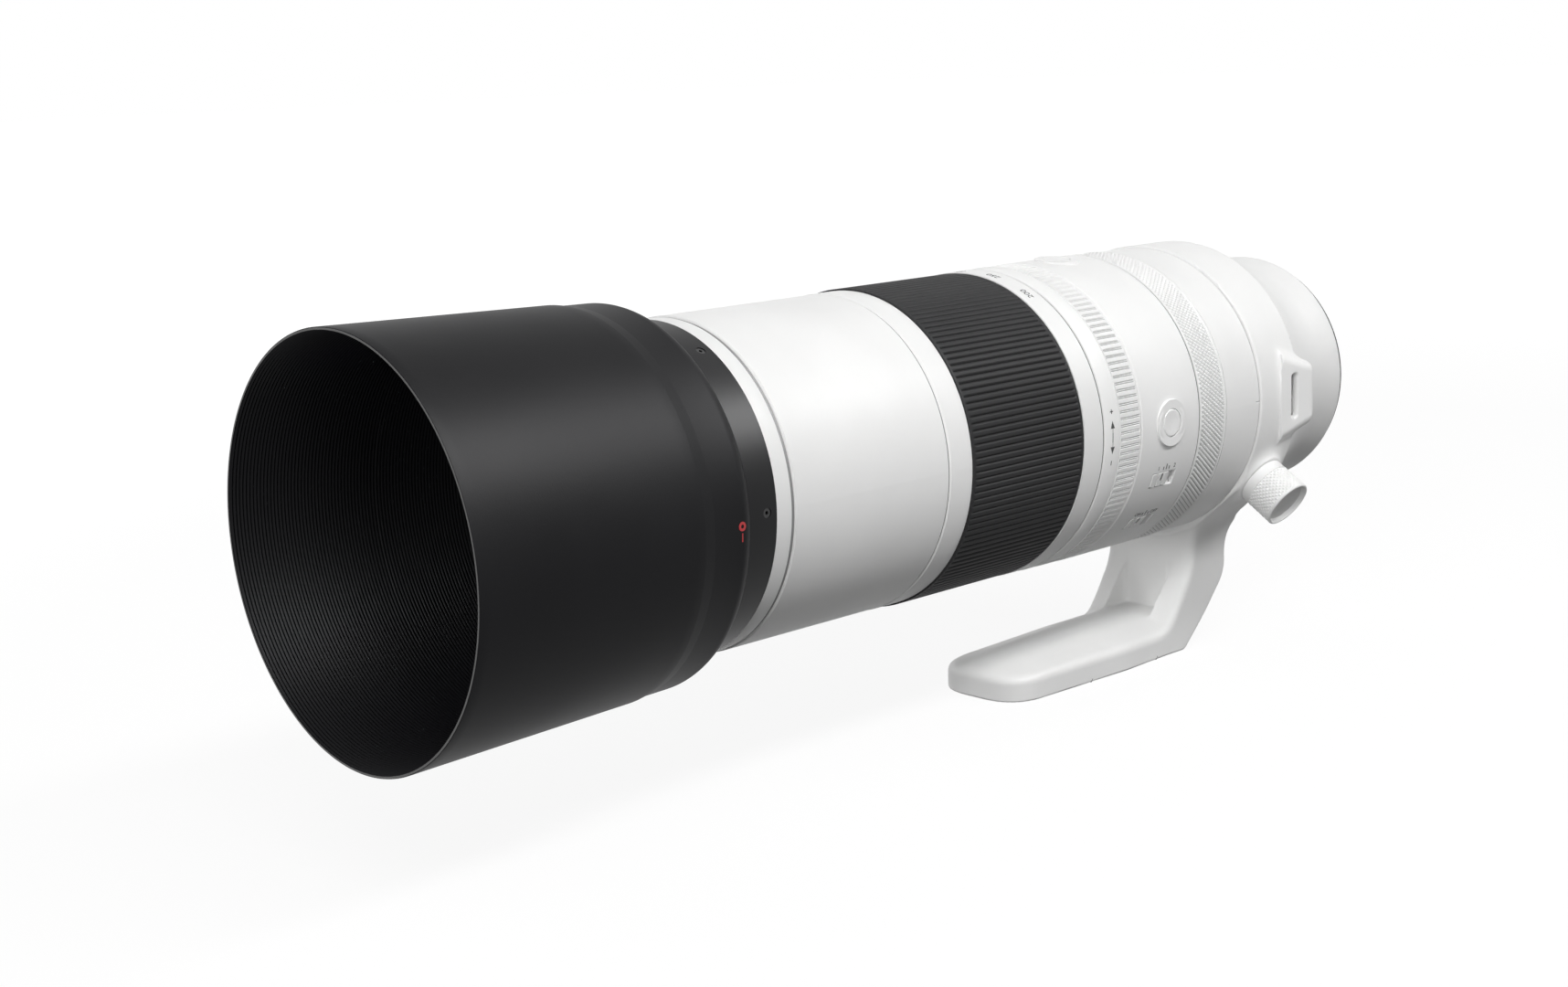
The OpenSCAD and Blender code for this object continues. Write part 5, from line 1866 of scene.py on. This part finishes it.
@dataclass
class Gaps(Assembly):
    """The narrow gaps between the rings, each with a ring of painted shade below its edges."""

    step: float = 0.3
    height: float = 1.0
    clearance: float = 0.05
    body: str = "barrel"
    pale: tuple[str, ...] = ("front_gap_shade", "zoom_gap_shade", "collar_gap_shade")

    def ring(self, name: str, rear: Span, front: Span) -> None:
        """Lay a ring of painted shade in the gap between two pieces of the barrel.

        Args:
            name: the ring's name.
            rear: the piece behind the gap.
            front: the piece in front of it.
        """
        top = min(rear.radius, front.radius) - self.step
        # The gaps named in pale get a grey painted shade, the others a near black painted shade.
        ink = SEAM_PAINTED_SHADE if name in self.pale else GAP_PAINTED_SHADE
        self.print_ring(name, (top - self.height, top),
                        (rear.front + self.clearance, front.rear - self.clearance), ink, self.body)

    def build(self) -> None:
        """Lay painted shade in each gap that shows as a dark or a grey line."""
        for name, rear, front in (("front_gap_shade", "main_barrel", "front_band"),
                                  ("zoom_gap_shade", "zoom_ring", "main_barrel"),
                                  ("tension_gap_shade", "tension_ring", "zoom_ring"),
                                  ("control_gap_shade", "control_ring", "function_barrel"),
                                  ("collar_gap_shade", "tripod_collar", "index_barrel")):
            behind, before = Span.of(rear), Span.of(front)
            if name == "collar_gap_shade":
                behind = Span(behind.rear, Collar.front, Collar.ring_radius)
            self.ring(name, behind, before)


@dataclass
class Inside(Assembly):
    """The CAD nodes that stay as they are, each with its finish."""

    def build(self) -> None:
        """Dress every CAD node in its slot's finish, but the set screws in blackened steel."""
        slots = {row["node"]: Slot(row["material_slot"]) for row in frame["record"]["subparts"]}
        for name, obj in frame["nodes"].items():
            obj.data.materials.clear()
            finish = BLACKENED_STEEL if name == "front_set_screws" else PALETTE[slots[name]]
            obj.data.materials.append(finish.material())
        LOG.info("dressed %d CAD nodes", len(slots))


@dataclass(frozen=True)
class Lamp:
    """One soft area lamp.

    Attributes:
        name: its name.
        place: where it hangs, in metres.
        aim: what it points at, in metres.
        size: its level side and its other side, in metres.
        power: in watts.
        diffuse: False where it adds nothing but reflections.
        glossy: False where it shows in no reflection.
    """

    name: str
    place: Point3
    aim: Point3
    size: Point
    power: float
    diffuse: bool = True
    glossy: bool = True

    def build(self) -> None:
        """Hang the lamp, with its longer side level."""
        data = bpy.data.lights.new(self.name, "AREA")
        data.shape, data.energy = "RECTANGLE", self.power
        data.size, data.size_y = self.size
        obj = bpy.data.objects.new(self.name, data)
        obj.location = self.place
        way = Vector(self.aim) - Vector(self.place)
        obj.rotation_euler = way.to_track_quat("-Z", "Y").to_euler()
        obj.visible_diffuse, obj.visible_glossy = self.diffuse, self.glossy
        bpy.context.scene.collection.objects.link(obj)


@dataclass
class Studio:
    """Camera, floor and soft light.

    Attributes:
        place: where the camera stands, in millimetres.
        right: its way to the right.
        up: its way upwards.
        back: its way backwards.
        lens: its focal length in millimetres.
        sensor: width of its picture in millimetres.
        floor_z: height of the floor in millimetres.
        floor_half: half the floor's side in metres.
        floor_grey: the floor's own colour.
        glow_near: a distance in metres and the strength of the floor's light up to it.
        glow_far: a distance in metres and the strength of the floor's light beyond it.
        ambient: strength of the light from all round.
        lamps: the area lamps.
    """

    place: Point3 = (478.9, -691.9, 122.2)
    right: Point3 = (0.6877, 0.7252, -0.0348)
    up: Point3 = (-0.1192, 0.1601, 0.9799)
    back: Point3 = (0.7162, -0.6697, 0.1965)
    lens: float = 50.0
    sensor: float = 36.0
    floor_z: float = -94.0
    floor_half: float = 12.0
    floor_grey: float = 0.12
    glow_near: Point = (0.5, 0.89)
    glow_far: Point = (1.6, 1.0)
    ambient: float = 0.28
    lamps: tuple[Lamp, ...] = (
        Lamp("strip", (0.84, -0.15, 0.98), (0.0, -0.15, 0.0), (2.6, 0.22), 17.4),
        Lamp("sheen", (0.84, -0.15, 0.98), (0.0, -0.15, 0.0), (2.6, 0.45), 115.0, diffuse=False),
        Lamp("front", (0.5, -1.8, 0.2), (0.0, -0.2, 0.0), (0.9, 0.9), 12.0),
        Lamp("fill", (-1.2, -0.3, 0.2), (0.0, -0.2, 0.0), (2.0, 0.8), 9.0, glossy=False),
    )

    def camera(self) -> None:
        """Stand the camera where the photograph was taken from."""
        data = bpy.data.cameras.new("camera")
        data.lens, data.sensor_width = self.lens, self.sensor
        data.clip_start, data.clip_end = 0.01, 50.0
        obj = bpy.data.objects.new("camera", data)
        bpy.context.scene.collection.objects.link(obj)
        turn = Matrix((self.right, self.up, self.back)).transposed()
        obj.matrix_world = Matrix.Translation(Vector(self.place) * MM) @ turn.to_4x4()
        bpy.context.scene.camera = obj

    @staticmethod
    def looked_at(tree: bpy.types.NodeTree) -> bpy.types.NodeSocket:
        """Tell the rays that look from the rays that light.

        Args:
            tree: the nodes of the world or of the floor.

        Returns:
            1 for a camera, glossy or transmission ray, 0 for any other.
        """
        path = add_node(tree, "LightPath", {}).outputs
        total = path["Is Camera Ray"]
        for kind in ("Is Glossy Ray", "Is Transmission Ray"):
            either = add_node(tree, "Math", {0: total, 1: path[kind]}, operation="MAXIMUM")
            total = either.outputs["Value"]
        return total

    def world(self) -> None:
        """White where the camera or a reflection looks, and a soft grey light elsewhere."""
        world = bpy.data.worlds.new("studio")
        bpy.context.scene.world = world
        world.use_nodes = True
        tree = world.node_tree
        soft = tree.nodes["Background"]
        soft.inputs["Color"].default_value = WHITE
        soft.inputs["Strength"].default_value = self.ambient
        white = add_node(tree, "Background", {"Color": WHITE}).outputs["Background"]
        mix = add_node(tree, "MixShader", {"Fac": self.looked_at(tree),
                                           1: soft.outputs["Background"], 2: white})
        tree.links.new(mix.outputs["Shader"], tree.nodes["World Output"].inputs["Surface"])

    def floor(self) -> None:
        """Lay a plain floor that keeps the lens's soft shadow.

        Its own light rises from a little under 1 beside the lens to 1 far from it, so it ends in
        the white background without a line. What it sends back to the lens is its plain grey.
        """
        mesh = bpy.data.meshes.new("floor")
        s, z = self.floor_half, (self.floor_z - 0.02) * MM
        mesh.from_pydata([(-s, -s, z), (s, -s, z), (s, s, z), (-s, s, z)], [], [(0, 1, 2, 3)])
        obj = bpy.data.objects.new("floor", mesh)
        bpy.context.scene.collection.objects.link(obj)
        made = bpy.data.materials.new("floor_white")
        made.use_nodes = True
        tree = made.node_tree
        shader = tree.nodes["Principled BSDF"]
        shader.inputs["Base Color"].default_value = (*[self.floor_grey] * 3, 1.0)
        shader.inputs["Roughness"].default_value = 0.9
        shader.inputs["Specular IOR Level"].default_value = 0.0
        place = add_node(tree, "TexCoord", {}).outputs["Object"]
        far = add_node(tree, "VectorMath", {0: place}, operation="LENGTH").outputs["Value"]
        (near_at, near_glow), (far_at, far_glow) = self.glow_near, self.glow_far
        ramp = add_node(tree, "MapRange", {"Value": far, "From Min": near_at, "From Max": far_at,
                                           "To Min": near_glow, "To Max": far_glow})
        seen = add_node(tree, "Math", {0: ramp.outputs["Result"], 1: self.looked_at(tree)},
                        operation="MULTIPLY")
        glow = add_node(tree, "Emission", {"Strength": seen.outputs["Value"]})
        both = add_node(tree, "AddShader", {0: shader.outputs["BSDF"], 1: glow.outputs["Emission"]})
        tree.links.new(both.outputs["Shader"], tree.nodes["Material Output"].inputs["Surface"])
        mesh.materials.append(made)

    def build(self) -> None:
        """Set up the whole studio."""
        bpy.context.scene.view_settings.view_transform = "Standard"
        self.camera()
        self.world()
        self.floor()
        for lamp in self.lamps:
            lamp.build()


def main() -> None:
    """Build and dress every sub-assembly, then the studio."""
    for group in (Inside(), Hood(), FrontGroup(), ZoomSection(), TensionRing(), ControlSection(),
                  Collar(), RearBarrel(), Gaps()):
        group.build()
        LOG.info("%s: %d pieces", type(group).__name__, len(group.made))
    Studio().build()


if __name__ == "__main__":
    main()
